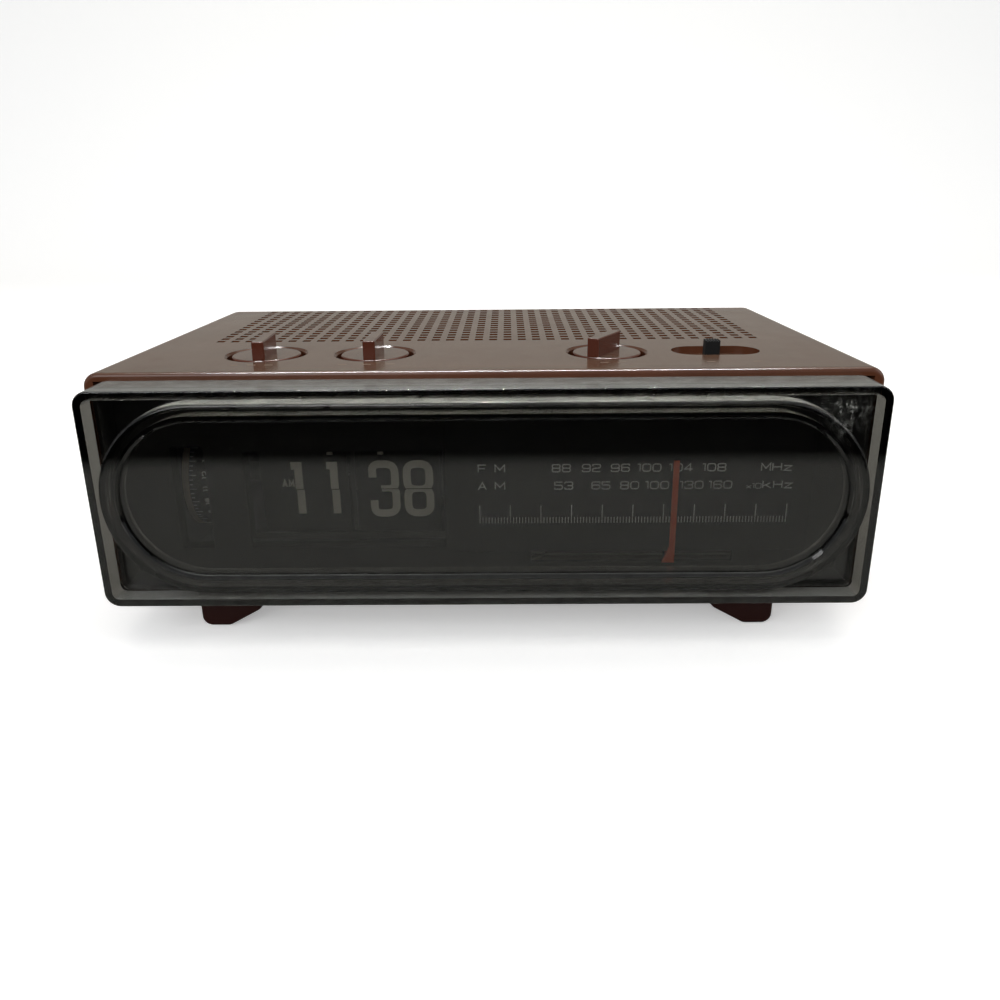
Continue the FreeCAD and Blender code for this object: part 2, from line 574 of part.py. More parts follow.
def leaf_drum(x0, x1, reach0, reach1):
    """Drum hub with two end discs and a bore for the axle."""
    parts = [rod_x(6.8, x0, x1, AXIS_Y, AXIS_Z), rod_x(4.0, reach0, reach1, AXIS_Y, AXIS_Z)]
    parts.append(rod_x(11.0, x0, x0 + 1.2, AXIS_Y, AXIS_Z))
    parts.append(rod_x(11.0, x1 - 1.2, x1, AXIS_Y, AXIS_Z))
    return join(parts).cut(rod_x(AXLE_R + RUNNING, reach0 - 1, reach1 + 1, AXIS_Y, AXIS_Z))


def leaf_fan(count, x0, x1):
    """The waiting leaves, spread round the drum."""
    leaves = []
    for index in range(count):
        leaf = box(x0, x1, AXIS_Y + 6.8, AXIS_Y + LEAF_FAN_R, AXIS_Z - 0.14, AXIS_Z + 0.14)
        leaf.rotate(V(0, AXIS_Y, AXIS_Z), V(1, 0, 0), 360.0 * index / count)
        leaves.append(leaf)
    return Part.makeCompound(leaves)


def minute_drum():
    """Minute drum with the gear that the motor and the setting knob turn."""
    x0, x1 = MINUTE_SPAN
    drum = leaf_drum(x0 + 0.4, x1 - 0.2, SIDE_PLATES[2] + SIDE_PLATE_THICK + GAP, GEAR_X1)
    gear = gear_x(MINUTE_TEETH, GEAR_X0, GEAR_X1, AXIS_Y, AXIS_Z)
    gear = gear.cut(rod_x(AXLE_R + RUNNING, GEAR_X0 - 1, GEAR_X1 + 1, AXIS_Y, AXIS_Z))
    return join([drum, gear])


def hour_drum():
    """Hour drum."""
    x0, x1 = HOUR_SPAN
    return leaf_drum(x0 + 0.4, x1 - 0.2, SIDE_PLATES[1] + SIDE_PLATE_THICK + GAP, SIDE_PLATES[2] - GAP)


def falling_leaf(x0, x1, catch_x):
    """Front leaf that falls about its lower edge, notched for the catch, with pivot stubs."""
    y0, y1 = HINGE_Y - LEAF_THICK - 0.1, HINGE_Y - 0.1
    leaf = box(x0, x1, y0, y1, AXIS_Z + 0.25, AXIS_Z + LEAF_HEIGHT)
    half = CATCH_WIDE / 2 + 0.6
    notch = box(catch_x - half, catch_x + half, y0 - 1, y1 + 1, AXIS_Z + 13.6, AXIS_Z + LEAF_HEIGHT + 1)
    leaf = leaf.cut(notch)
    ears = [box(x, x + 1.2, y0, HINGE_Y + 0.25, AXIS_Z - 0.25, AXIS_Z + 2.0) for x in (x0 + 0.2, x1 - 1.4)]
    stubs = [rod_x(0.25, x, x + 0.5, HINGE_Y, AXIS_Z) for x in (x0 - 0.2, x1 - 0.3)]
    return join([leaf] + ears + stubs)


def upper_leaf(x0, x1):
    """Next upper leaf, waiting upright behind the falling one."""
    return box(x0, x1, HINGE_Y + 0.35, HINGE_Y + 0.35 + LEAF_THICK, AXIS_Z + 0.4, AXIS_Z + LEAF_HEIGHT + 0.4)


def lower_leaf(x0, x1):
    """Lower leaf of the displayed number."""
    return box(x0, x1, HINGE_Y + 0.95, HINGE_Y + 0.95 + LEAF_THICK, AXIS_Z - LEAF_HEIGHT - 0.8, AXIS_Z - 0.3)


def display_leaves():
    """The still leaves of the displayed time: two upper and two lower."""
    spans = (MINUTE_SPAN, HOUR_SPAN)
    return Part.makeCompound([make(*span) for make in (upper_leaf, lower_leaf) for span in spans])


def leaf_catches():
    """Spring tabs that hold the upper leaves at their top edge."""
    tabs = []
    for x in CATCH_X:
        x0, x1 = x - CATCH_WIDE / 2, x + CATCH_WIDE / 2
        high = FRAME_HIGH + 0.6
        front = box(x0, x1, HINGE_Y - 0.3, HINGE_Y + 0.3, AXIS_Z + 14.1, high)
        roof = box(x0, x1, HINGE_Y - 0.3, -50.0, FRAME_HIGH, high)
        tabs.append(join([front, roof]))
    return Part.makeCompound(tabs)


def alarm_drum():
    """Alarm-time drum, hollow, with the shaft to its setting knob."""
    x0, x1 = ALARM_SPAN
    body = rod_x(ALARM_R, x0, x1, AXIS_Y, AXIS_Z)
    body = body.cut(rod_x(ALARM_R - 1.6, x0 + 1.8, x1 + 1, AXIS_Y, AXIS_Z))
    hub = rod_x(5.0, x0, x1, AXIS_Y, AXIS_Z)
    shaft = rod_x(3.0, -KNOB_OUTER + 2.0, x0 + 1, AXIS_Y, AXIS_Z)
    drum = join([body, hub, shaft])
    return drum.cut(rod_x(AXLE_R + RUNNING, -115.4, x1 + 1, AXIS_Y, AXIS_Z))


def side_knob(side, radius, y, z, bore_r, flutes):
    """Fluted edge knob outside the cabinet side."""
    x0, x1 = KNOB_INNER, KNOB_OUTER
    knob = rod_x(radius, x0, x1, y, z)
    knob = round_edges(knob, 1.0, lambda m, e: near(m.x, x1))
    grooves = []
    for index in range(flutes):
        angle = 2 * math.pi * index / flutes
        cy, cz = y + (radius + 0.25) * math.cos(angle), z + (radius + 0.25) * math.sin(angle)
        grooves.append(rod_x(0.8, x0 + 1.6, x1 + 1, cy, cz))
    knob = knob.cut(Part.makeCompound(grooves))
    knob = knob.cut(rod_x(bore_r, x0 - 1, x1 - 2.0, y, z))
    if side < 0:
        knob = knob.mirror(V(0, 0, 0), V(1, 0, 0))
    return knob


def time_gear():
    """Setting shaft and its gear, in mesh with the minute gear."""
    mesh_turn = 180.0 + 180.0 / TIME_TEETH
    gear = gear_x(TIME_TEETH, GEAR_X0, GEAR_X1, TIME_Y, AXIS_Z, mesh_turn)
    shaft = rod_x(AXLE_R, -KNOB_OUTER + 2.0, GEAR_X1 + 0.6, TIME_Y, AXIS_Z)
    return join([gear, shaft])


def motor_pinion():
    """Motor output pinion, in mesh with the minute gear."""
    line = math.degrees(MOTOR_ANGLE)
    minute_phase = line / (360.0 / MINUTE_TEETH)
    offset = (minute_phase - math.floor(minute_phase)) * 360.0 / MOTOR_TEETH
    mesh_turn = line + 180.0 + 180.0 / MOTOR_TEETH + offset
    pinion = gear_x(MOTOR_TEETH, GEAR_X0, GEAR_X1, MOTOR_Y, MOTOR_Z, mesh_turn)
    shaft = rod_x(1.5, GEAR_X0 - 0.6, -4.0, MOTOR_Y, MOTOR_Z)
    return join([pinion, shaft])


def clock_motor():
    """Synchronous clock motor can with its bearing hole."""
    can = rod_x(14.0, -9.0, 8.0, MOTOR_Y, MOTOR_Z)
    can = round_edges(can, 1.5, lambda m, e: near(m.x, 8.0))
    across = MOTOR_ANGLE + math.pi / 2
    pillars = []
    for reach in (-11.0, 11.0):
        y, z = MOTOR_Y + reach * math.cos(across), MOTOR_Z + reach * math.sin(across)
        pillars.append(rod_x(1.6, SIDE_PLATES[3] + SIDE_PLATE_THICK, -8.5, y, z))
    motor = join([can] + pillars)
    return motor.cut(rod_x(1.5 + RUNNING, -10.0, -3.5, MOTOR_Y, MOTOR_Z))


def lamp_holder():
    """Bent steel clip that holds the dial lamp over the clock window."""
    tongue = box(-55.0, -47.0, -60.6, -50.0, FRAME_HIGH, FRAME_HIGH + 1.0)
    upright = box(-55.0, -53.8, -63.2, -57.0, FRAME_HIGH, 84.0)
    collar = rod_x(3.0, -53.8, -48.0, -60.4, 81.0)
    return join([tongue, upright, collar]).cut(rod_x(2.3, -50.5, -47.0, -60.4, 81.0))


def dial_lamp():
    """Small festoon lamp: metal cap and glass bulb in one piece."""
    cap = rod_x(2.3, -50.5, -44.0, -60.4, 81.0)
    bulb = rod_x(2.0, -44.5, -36.0, -60.4, 81.0)
    tip = Part.makeSphere(2.0, V(-36.0, -60.4, 81.0))
    return join([cap, bulb, tip])


# ---------------------------------------------------------------- tuning drive
def grooved_wheel(groove_r, flange_r, x, y):
    """Wheel on an upright axis with a groove at the cord's height."""
    half = 2.0
    wheel = rod_z(flange_r, CORD_Z - half, CORD_Z + half, x, y)
    ring = rod_z(flange_r + 1, CORD_Z - 0.9, CORD_Z + 0.9, x, y)
    return wheel.cut(ring.cut(rod_z(groove_r, CORD_Z - 1, CORD_Z + 1, x, y)))


IDLERS = {
    "idler_front_left": (CORD_LEFT_X + IDLER_R, CORD_FRONT_Y + IDLER_R),
    "idler_front_right": (CORD_RIGHT_X - IDLER_R, CORD_FRONT_Y + IDLER_R),
    "idler_rear_right": (CORD_RIGHT_X - IDLER_R, CORD_BACK_Y - IDLER_R),
}


def idler(x, y):
    """Idler pulley with a bore for its pin."""
    wheel = grooved_wheel(IDLER_R - CORD_R - GAP, IDLER_R + 1.5, x, y)
    return wheel.cut(rod_z(1.5 + RUNNING, CORD_Z - 3, CORD_Z + 3, x, y))


def tuning_drum():
    """Large cord drum with the shaft of the variable capacitor."""
    wheel = grooved_wheel(DRUM_R - CORD_R - GAP, DRUM_R + 1.5, DRUM_X, DRUM_Y)
    windows = ring_of_holes(4, 12.0, 4.6, CORD_Z - 3, CORD_Z + 3, DRUM_X, DRUM_Y)
    wheel = wheel.cut(Part.makeCompound(windows))
    hub = rod_z(5.5, CORD_Z - 2, CORD_Z + 3.2, DRUM_X, DRUM_Y)
    shaft = rod_z(STEM_R, CORD_Z, 40.0, DRUM_X, DRUM_Y)
    return join([wheel, hub, shaft])


def variable_capacitor():
    """Tuning capacitor in its square case under the board."""
    case = box(DRUM_X - 12, DRUM_X + 12, DRUM_Y - 12, DRUM_Y + 12, 33.0, BOARD_Z)
    case = round_edges(case, 1.0, lambda m, e: near(m.z, (33.0 + BOARD_Z) / 2))
    return case.cut(rod_z(STEM_R + RUNNING, 32.0, 41.0, DRUM_X, DRUM_Y))


def tuning_spindle():
    """Tuning shaft with a waist for the cord."""
    shaft = rod_x(SPINDLE_R, 104.0, KNOB_OUTER - 2.0, TUNING_Y, TUNING_Z)
    groove = rod_x(SPINDLE_R + 1, CORD_RIGHT_X - 2.5, CORD_RIGHT_X + 2.5, TUNING_Y, TUNING_Z)
    core = rod_x(SPINDLE_R - CORD_R - GAP, CORD_RIGHT_X - 3, CORD_RIGHT_X + 3, TUNING_Y, TUNING_Z)
    return shaft.cut(groove.cut(core))


def spindle_bracket():
    """Bent steel bracket with the two bearings of the tuning shaft."""
    y0, y1 = TUNING_Y - 6, TUNING_Y + 6
    base = box(106.0, 134.0, y0, y1, COVER_TOP, COVER_TOP + 1.2)
    ears = [box(x, x + 1.5, y0, y1, COVER_TOP, 38.0) for x in (106.0, 132.5)]
    bracket = join([base] + ears)
    return bracket.cut(rod_x(SPINDLE_R + RUNNING, 100.0, 136.0, TUNING_Y, TUNING_Z))


def cord_arc(cx, cy, radius, start, end):
    """Quarter-turn of cord round an upright axis; angles in degrees."""
    points = []
    for angle in (start, (start + end) / 2, end):
        a = math.radians(angle)
        points.append(V(cx + radius * math.cos(a), cy + radius * math.sin(a), CORD_Z))
    return Part.Arc(*points).toShape()


def cord_ring(radius, centre, direction):
    """One full turn of cord."""
    return Part.makeTorus(radius, CORD_R, centre, direction)


def dial_cord():
    """Cord from the pointer round the idlers, the tuning shaft and the drum."""
    front_left = IDLERS["idler_front_left"]
    front_right = IDLERS["idler_front_right"]
    rear_right = IDLERS["idler_rear_right"]

    def line(x0, y0, x1, y1):
        return Part.LineSegment(V(x0, y0, CORD_Z), V(x1, y1, CORD_Z)).toShape()

    edges = [
        line(front_left[0], CORD_FRONT_Y, front_right[0], CORD_FRONT_Y),
        cord_arc(*front_right, IDLER_R, -90, 0),
        line(CORD_RIGHT_X, front_right[1], CORD_RIGHT_X, rear_right[1]),
        cord_arc(*rear_right, IDLER_R, 0, 90),
        line(rear_right[0], CORD_BACK_Y, DRUM_X, CORD_BACK_Y),
        cord_arc(DRUM_X, DRUM_Y, DRUM_R, 90, 180),
        line(CORD_LEFT_X, DRUM_Y, CORD_LEFT_X, front_left[1]),
        cord_arc(*front_left, IDLER_R, 180, 270),
    ]
    path = Part.Wire(edges)
    start = V(front_left[0], CORD_FRONT_Y, CORD_Z)
    profile = Part.Wire(Part.makeCircle(CORD_R, start, V(1, 0, 0)))
    loop = path.makePipeShell([profile], True, False)
    turns = [cord_ring(SPINDLE_R, V(CORD_RIGHT_X + s * 1.0, TUNING_Y, TUNING_Z), V(1, 0, 0)) for s in (-1, 1)]
    return Part.makeCompound([loop] + turns)


def pointer_rail():
    """Steel rod that the pointer slides on."""
    return rod_x(RAIL_R, 8.0, 112.0, CORD_FRONT_Y, RAIL_Z)


def pointer_carriage():
    """Slider on the rail, with an eye that grips the cord."""
    y0, y1 = CORD_FRONT_Y - 2.5, CORD_FRONT_Y + 2.4
    block = box(POINTER_X - 3.0, POINTER_X + 3.0, y0, y1, 30.7, RAIL_Z + 2.4)
    hook = box(POINTER_X - HOOK_HALF, POINTER_X + HOOK_HALF, CORD_FRONT_Y - HOOK_HALF, CORD_FRONT_Y + HOOK_HALF,
               CORD_Z - HOOK_HALF, 31.0)
    carriage = join([block, hook])
    carriage = carriage.cut(rod_x(RAIL_R + RUNNING, POINTER_X - 5, POINTER_X + 5, CORD_FRONT_Y, RAIL_Z))
    return carriage.cut(rod_x(CORD_R + GAP, POINTER_X - 5, POINTER_X + 5, CORD_FRONT_Y, CORD_Z))


def dial_pointer():
    """Thin needle in front of the scale, with a foot and an arm back to the carriage."""
    y0, y1 = POINTER_Y - 0.4, POINTER_Y + 0.4
    needle = box(POINTER_X - 1.05, POINTER_X + 1.05, y0, y1, 28.2, 68.9)
    x, low, high = POINTER_X, 28.2, 34.2
    foot_piece = prism_y([(x - 3.6, low), (x, low), (x, high), (x - 1.2, high)], y0, y1)
    arm = box(POINTER_X - 1.05, POINTER_X + 1.05, y0, CORD_FRONT_Y - HOOK_HALF, 28.2, 29.4)
    return join([needle, foot_piece, arm])


# ---------------------------------------------------------------- radio and supply
def circuit_board():
    """Paper laminate board with its fixing holes."""
    x0, x1, y0, y1 = BOARD
    board = box(x0, x1, y0, y1, BOARD_Z, BOARD_Z + BOARD_THICK)
    for x, y in BOARD_POSTS:
        board = board.cut(rod_z(SCREW_R, BOARD_Z - 1, BOARD_Z + 3, x, y))
    return board


def tuned_cans():
    """Screening cans of the tuned transformers."""
    base = BOARD_Z + BOARD_THICK
    cans = []
    for x, y in ((64.0, -30.0), (78.0, -30.0), (92.0, -30.0), (64.0, -12.0), (78.0, -12.0)):
        can = box(x - 5, x + 5, y - 5, y + 5, base, base + 12)
        can = round_edges(can, 1.0, lambda m, e, mid=base + 6: near(m.z, mid))
        cans.append(can.cut(rod_z(2.4, base + 10.5, base + 13, x, y)))
    return Part.makeCompound(cans)


def electrolytic_capacitors():
    """Upright electrolytic capacitors."""
    base = BOARD_Z + BOARD_THICK
    places = ((110.0, 40.0, 8.0, 26.0), (112.0, 12.0, 5.0, 14.0),
              (112.0, -6.0, 5.0, 14.0), (96.0, -6.0, 4.0, 11.0))
    cans = []
    for x, y, radius, height in places:
        can = rod_z(radius, base, base + height, x, y)
        cans.append(round_edges(can, 0.8, lambda m, e, top=base + height: near(m.z, top)))
    return Part.makeCompound(cans)


def ferrite_rod():
    """Aerial rod along the back."""
    return rod_x(ROD_R, -62.0, 70.0, ROD_Y, ROD_Z)


def aerial_coil():
    """Winding former on the aerial rod."""
    former = rod_x(ROD_R + 2, 20.0, 56.0, ROD_Y, ROD_Z)
    return former.cut(rod_x(ROD_R, 19.0, 57.0, ROD_Y, ROD_Z))


def transformer_core():
    """Laminated core of the supply transformer, with its mounting feet."""
    core = box(-124.0, -84.0, 30.0, 50.0, COVER_TOP, 56.0)
    core = core.cut(box(-117.0, -109.0, 29.0, 51.0, COVER_TOP + 7, 49.0))
    core = core.cut(box(-99.0, -91.0, 29.0, 51.0, COVER_TOP + 7, 49.0))
    tabs = [box(x, x + 8.0, 30.0, 50.0, COVER_TOP, COVER_TOP + 1.5) for x in (-131.5, -84.5)]
    core = join([core] + tabs)
    for x, y in TRANSFORMER_SCREWS:
        core = core.cut(rod_z(SCREW_R, COVER_TOP - 1, COVER_TOP + 3, x, y))
    return core


def transformer_coil():
    """Wound bobbin on the middle limb of the core."""
    coil = box(-116.8, -91.2, 22.0, 58.0, COVER_TOP + 7.2, 48.8)
    coil = round_edges(coil, 3.0, lambda m, e: near(m.z, (COVER_TOP + 7.2 + 48.8) / 2))
    return coil.cut(box(-109.0, -99.0, 30.0, 50.0, COVER_TOP, 56.0))


def cord_inlet():
    """Rubber bush in the cabinet back where the supply lead enters."""
    body = rod_y(INLET_R, INNER_BACK - 1.4, BACK, INLET_X, INLET_Z)
    inner = rod_y(INLET_R + 1.8, INNER_BACK - 2.6, INNER_BACK, INLET_X, INLET_Z)
    return join([body, inner]).cut(rod_y(3.2, INNER_BACK - 6, BACK + 1, INLET_X, INLET_Z))


# ---------------------------------------------------------------- speaker
def speaker_frame():
    """Pressed steel basket with a square flange."""
    x, y = SPEAKER_X, SPEAKER_Y
    flange_low = SPEAKER_TOP - 1.2
    half = SPEAKER_HALF
    flange = box(x - half, x + half, y - half, y + half, flange_low, SPEAKER_TOP)
    flange = round_edges(flange, 7.0, lambda m, e: near(m.z, SPEAKER_TOP - 0.6))
    basket = cone_z(21.0, 43.5, 72.0, flange_low + 0.2, x, y)
    frame = join([flange, basket])
    frame = frame.cut(cone_z(19.8, 42.3, 73.2, SPEAKER_TOP + 1.0, x, y))
    vents = ring_of_holes(6, 30.0, 6.5, 60.0, SPEAKER_TOP - 3.0, x, y)
    frame = frame.cut(Part.makeCompound(vents))
    for sx, sy in SPEAKER_SCREWS:
        frame = frame.cut(rod_z(SCREW_R, flange_low - 1, SPEAKER_TOP + 1, sx, sy))
    return frame


def speaker_cone():
    """Paper cone with a domed dust cap."""
    x, y = SPEAKER_X, SPEAKER_Y
    outside = cone_z(11.0, 40.2, 76.0, SPEAKER_TOP - 0.2, x, y)
    inside = cone_z(10.2, 40.2, 77.0, SPEAKER_TOP + 0.9, x, y)
    surround = rod_z(40.9, SPEAKER_TOP - 0.6, SPEAKER_TOP, x, y)
    surround = surround.cut(rod_z(39.0, SPEAKER_TOP - 2, SPEAKER_TOP + 1, x, y))
    dome = Part.makeSphere(16.0, V(x, y, 68.0)).common(rod_z(12.5, 78.0, 90.0, x, y))
    return join([outside.cut(inside), surround, dome])


def speaker_magnet():
    """Ring magnet with its back plate."""
    x, y = SPEAKER_X, SPEAKER_Y
    ring = rod_z(19.0, 62.0, 72.0, x, y)
    plate = rod_z(17.0, 60.5, 62.0, x, y)
    return join([round_edges(ring, 0.8, lambda m, e: near(m.z, 62.0)), plate])


# ---------------------------------------------------------------- fasteners
def screw(x, y, z, up, length, head_r=2.6, head=1.6):
    """Pan-head screw along Z; z is the seat under the head, up is the way the shank points."""
    shank = rod_z(SCREW_R - 0.05, z, z + length, x, y)
    cap = rod_z(head_r, z - head, z, x, y)
    cap = round_edges(cap, 0.5, lambda m, e: near(m.z, z - head))
    cap = cap.cut(box(x - 2, x + 2, y - 0.3, y + 0.3, z - head - 1, z - head + 0.7))
    body = join([shank, cap])
    if up < 0:
        body.rotate(V(x, y, z), V(1, 0, 0), 180.0)
    return body


def cover_screws():
    """Four screws through the bottom cover into the cabinet."""
    return Part.makeCompound([screw(x, y, FLOOR + 1.2, 1, 18.0, 2.8, 1.1) for x, y in COVER_SCREWS])


def assembly_screws():
    """Screws of the clock, the board, the control plate and the speaker."""
    group = [screw(x, y, FRAME_LOW + 2, -1, 4.0) for x, y in CLOCK_POSTS]
    group += [screw(x, y, BOARD_Z + BOARD_THICK, -1, 8.0) for x, y in BOARD_POSTS]
    group += [screw(x, y, PLATE_Z, 1, 6.0) for x, y in PLATE_SCREWS]
    group += [screw(x, y, SPEAKER_TOP - 1.2, 1, 3.2) for x, y in SPEAKER_SCREWS]
    group += [screw(x, y, COVER_TOP + 1.5, -1, 3.2) for x, y in TRANSFORMER_SCREWS]
    return Part.makeCompound(group)


# ---------------------------------------------------------------- write the nodes
def all_nodes():
    """Every node by name."""
    nodes = {
        "cabinet_shell": cabinet_shell(),
        "bottom_cover": bottom_cover(),
        "front_lens": front_lens(),
        "dial_panel": dial_panel(),
        "scale_plate": scale_plate(),
        "sleep_knob": grip_knob(SLEEP_X, SLEEP_TURN),
        "function_knob": grip_knob(FUNCTION_X, FUNCTION_TURN),
        "volume_knob": grip_knob(VOLUME_X, VOLUME_TURN),
        "sleep_timer": sleep_timer(),
        "function_switch": function_switch(),
        "volume_control": volume_control(),
        "control_plate": control_plate(),
        "band_switch_body": band_switch_body(),
        "band_button": band_button(),
        "clock_frame": clock_frame(),
        "clock_axle": clock_axle(),
        "minute_drum": minute_drum(),
        "hour_drum": hour_drum(),
        "minute_leaves": leaf_fan(MINUTE_LEAVES, MINUTE_SPAN[0] + 1.6, MINUTE_SPAN[1] - 1.4),
        "hour_leaves": leaf_fan(HOUR_LEAVES, HOUR_SPAN[0] + 1.6, HOUR_SPAN[1] - 1.4),
        "minute_flap": falling_leaf(*MINUTE_SPAN, CATCH_X[1]),
        "hour_flap": falling_leaf(*HOUR_SPAN, CATCH_X[0]),
        "display_leaves": display_leaves(),
        "leaf_catches": leaf_catches(),
        "alarm_drum": alarm_drum(),
        "alarm_knob": side_knob(-1, SIDE_KNOB_R, AXIS_Y, AXIS_Z, 3.0, 36),
        "time_knob": side_knob(-1, SIDE_KNOB_R, TIME_Y, AXIS_Z, AXLE_R, 36),
        "time_gear": time_gear(),
        "motor_pinion": motor_pinion(),
        "clock_motor": clock_motor(),
        "lamp_holder": lamp_holder(),
        "dial_lamp": dial_lamp(),
        "tuning_drum": tuning_drum(),
        "variable_capacitor": variable_capacitor(),
        "tuning_spindle": tuning_spindle(),
        "tuning_knob": side_knob(1, SIDE_KNOB_R, TUNING_Y, TUNING_Z, SPINDLE_R, 36),
        "spindle_bracket": spindle_bracket(),
        "dial_cord": dial_cord(),
        "pointer_rail": pointer_rail(),
        "pointer_carriage": pointer_carriage(),
        "dial_pointer": dial_pointer(),
        "circuit_board": circuit_board(),
        "tuned_cans": tuned_cans(),
        "electrolytic_capacitors": electrolytic_capacitors(),
        "ferrite_rod": ferrite_rod(),
        "aerial_coil": aerial_coil(),
        "transformer_core": transformer_core(),
        "transformer_coil": transformer_coil(),
        "cord_inlet": cord_inlet(),
        "speaker_frame": speaker_frame(),
        "speaker_cone": speaker_cone(),
        "speaker_magnet": speaker_magnet(),
        "feet": on_each_foot(foot),
        "foot_pads": on_each_foot(foot_pad),
        "cover_screws": cover_screws(),
        "assembly_screws": assembly_screws(),
    }
    for name, (x, y) in IDLERS.items():
        nodes[name] = idler(x, y)
    return nodes


def main():
    """Build and write every node."""
    os.makedirs("parts", exist_ok=True)
    for name, shape in all_nodes().items():
        save(name, shape)


main()
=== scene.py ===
"""Looks of a flip-leaf clock radio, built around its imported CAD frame.

Metres, in the frame of the CAD part: +X right, +Y back, +Z up, the floor at z = 0.
"""
import json
import math

import bmesh
import bpy
from mathutils import Matrix, Vector
from mathutils.geometry import delaunay_2d_cdt


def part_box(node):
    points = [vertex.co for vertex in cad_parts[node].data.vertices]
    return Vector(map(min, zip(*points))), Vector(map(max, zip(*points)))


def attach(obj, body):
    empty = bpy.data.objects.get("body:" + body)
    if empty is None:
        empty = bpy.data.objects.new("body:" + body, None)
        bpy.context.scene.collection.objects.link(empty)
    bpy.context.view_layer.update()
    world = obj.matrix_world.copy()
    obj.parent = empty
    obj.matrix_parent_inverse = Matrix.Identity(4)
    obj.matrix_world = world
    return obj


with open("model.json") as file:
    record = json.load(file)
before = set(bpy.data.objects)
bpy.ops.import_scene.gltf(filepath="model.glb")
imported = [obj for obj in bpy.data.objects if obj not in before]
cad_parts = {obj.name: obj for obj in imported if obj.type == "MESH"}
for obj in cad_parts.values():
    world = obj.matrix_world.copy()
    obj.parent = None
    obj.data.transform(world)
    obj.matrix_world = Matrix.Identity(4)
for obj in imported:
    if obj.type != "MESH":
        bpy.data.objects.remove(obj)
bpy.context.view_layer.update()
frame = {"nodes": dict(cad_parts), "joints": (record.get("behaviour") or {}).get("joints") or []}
NODES = frame["nodes"]
MM = 0.001
INK = 0.04 * MM                      # thickness of printed marks
PROUD = 0.01 * MM                    # gap that keeps print clear of the face below it


def joint_place(name):
    """Position of a joint, in metres."""
    return next(joint for joint in frame["joints"] if joint["name"] == name)["pos_m"]


# ---------------------------------------------------------------- node material helpers
class Shader:
    """A material whose nodes are added one at a time."""

    def __init__(self, name):
        self.material = bpy.data.materials.new(name)
        self.material.use_nodes = True
        self.tree = self.material.node_tree
        self.tree.nodes.clear()
        self.output = self.add("ShaderNodeOutputMaterial")
        self.coords = self.add("ShaderNodeTexCoord").outputs["Object"]

    def add(self, kind, **inputs):
        """New node; keyword names are socket names with _ for a space."""
        node = self.tree.nodes.new(kind)
        for key, value in inputs.items():
            self.plug(node.inputs[key.replace("_", " ")], value)
        return node

    def plug(self, socket, value):
        """Link a socket, or set it to a constant."""
        if isinstance(value, bpy.types.NodeSocket):
            self.tree.links.new(value, socket)
        else:
            socket.default_value = value

    def noise(self, scale, detail=3.0, stretch=(1, 1, 1), rough=0.55):
        """Noise value over the object's own coordinates; scale is in cells per metre."""
        place = self.add("ShaderNodeMapping", Vector=self.coords, Scale=stretch)
        return self.add("ShaderNodeTexNoise", Vector=place.outputs[0], Scale=scale, Detail=detail,
                        Roughness=rough).outputs["Fac"]

    def bands(self, scale, axis):
        """Straight bands across an axis."""
        wave = self.add("ShaderNodeTexWave", Vector=self.coords, Scale=scale)
        wave.bands_direction = axis
        return wave.outputs["Fac"]

    def spread(self, value, low, high, start=0.3, end=0.7):
        """Map a 0..1 value to a range."""
        node = self.add("ShaderNodeMapRange", Value=value)
        for key, number in (("From Min", start), ("From Max", end), ("To Min", low), ("To Max", high)):
            node.inputs[key].default_value = number
        return node.outputs[0]

    def blend(self, factor, first, second):
        """Mix of two colours."""
        node = self.add("ShaderNodeMix")
        node.data_type = "RGBA"
        for socket, value in ((node.inputs[0], factor), (node.inputs[6], first), (node.inputs[7], second)):
            self.plug(socket, value)
        return node.outputs[2]

    def mix(self, factor, first, second):
        """Mix of two shader nodes."""
        node = self.add("ShaderNodeMixShader")
        for socket, value in zip(node.inputs, (factor, first.outputs[0], second.outputs[0])):
            self.plug(socket, value)
        return node

    def maths(self, operation, first, second):
        """One arithmetic step."""
        node = self.add("ShaderNodeMath")
        node.operation = operation
        self.plug(node.inputs[0], first)
        self.plug(node.inputs[1], second)
        return node.outputs[0]

    def facing_up(self):
        """1 where the surface looks straight up, 0 where it is upright."""
        normal = self.add("ShaderNodeNewGeometry").outputs["Normal"]
        return self.add("ShaderNodeSeparateXYZ", Vector=normal).outputs["Z"]

    def bump(self, height, strength, distance):
        """Normal from a height; distance in metres."""
        return self.add("ShaderNodeBump", Height=height, Strength=strength, Distance=distance).outputs[0]

    def principled(self, **inputs):
        """The Principled shader wired to the output."""
        node = self.add("ShaderNodeBsdfPrincipled", **inputs)
        self.tree.links.new(node.outputs[0], self.output.inputs["Surface"])
        return node


def rgba(colour, lift=1.0):
    """Colour tuple with alpha, brightened by lift."""
    return tuple(min(1.0, channel * lift) for channel in colour) + (1.0,)


DUST_COLOUR = (0.20, 0.19, 0.14, 1.0)


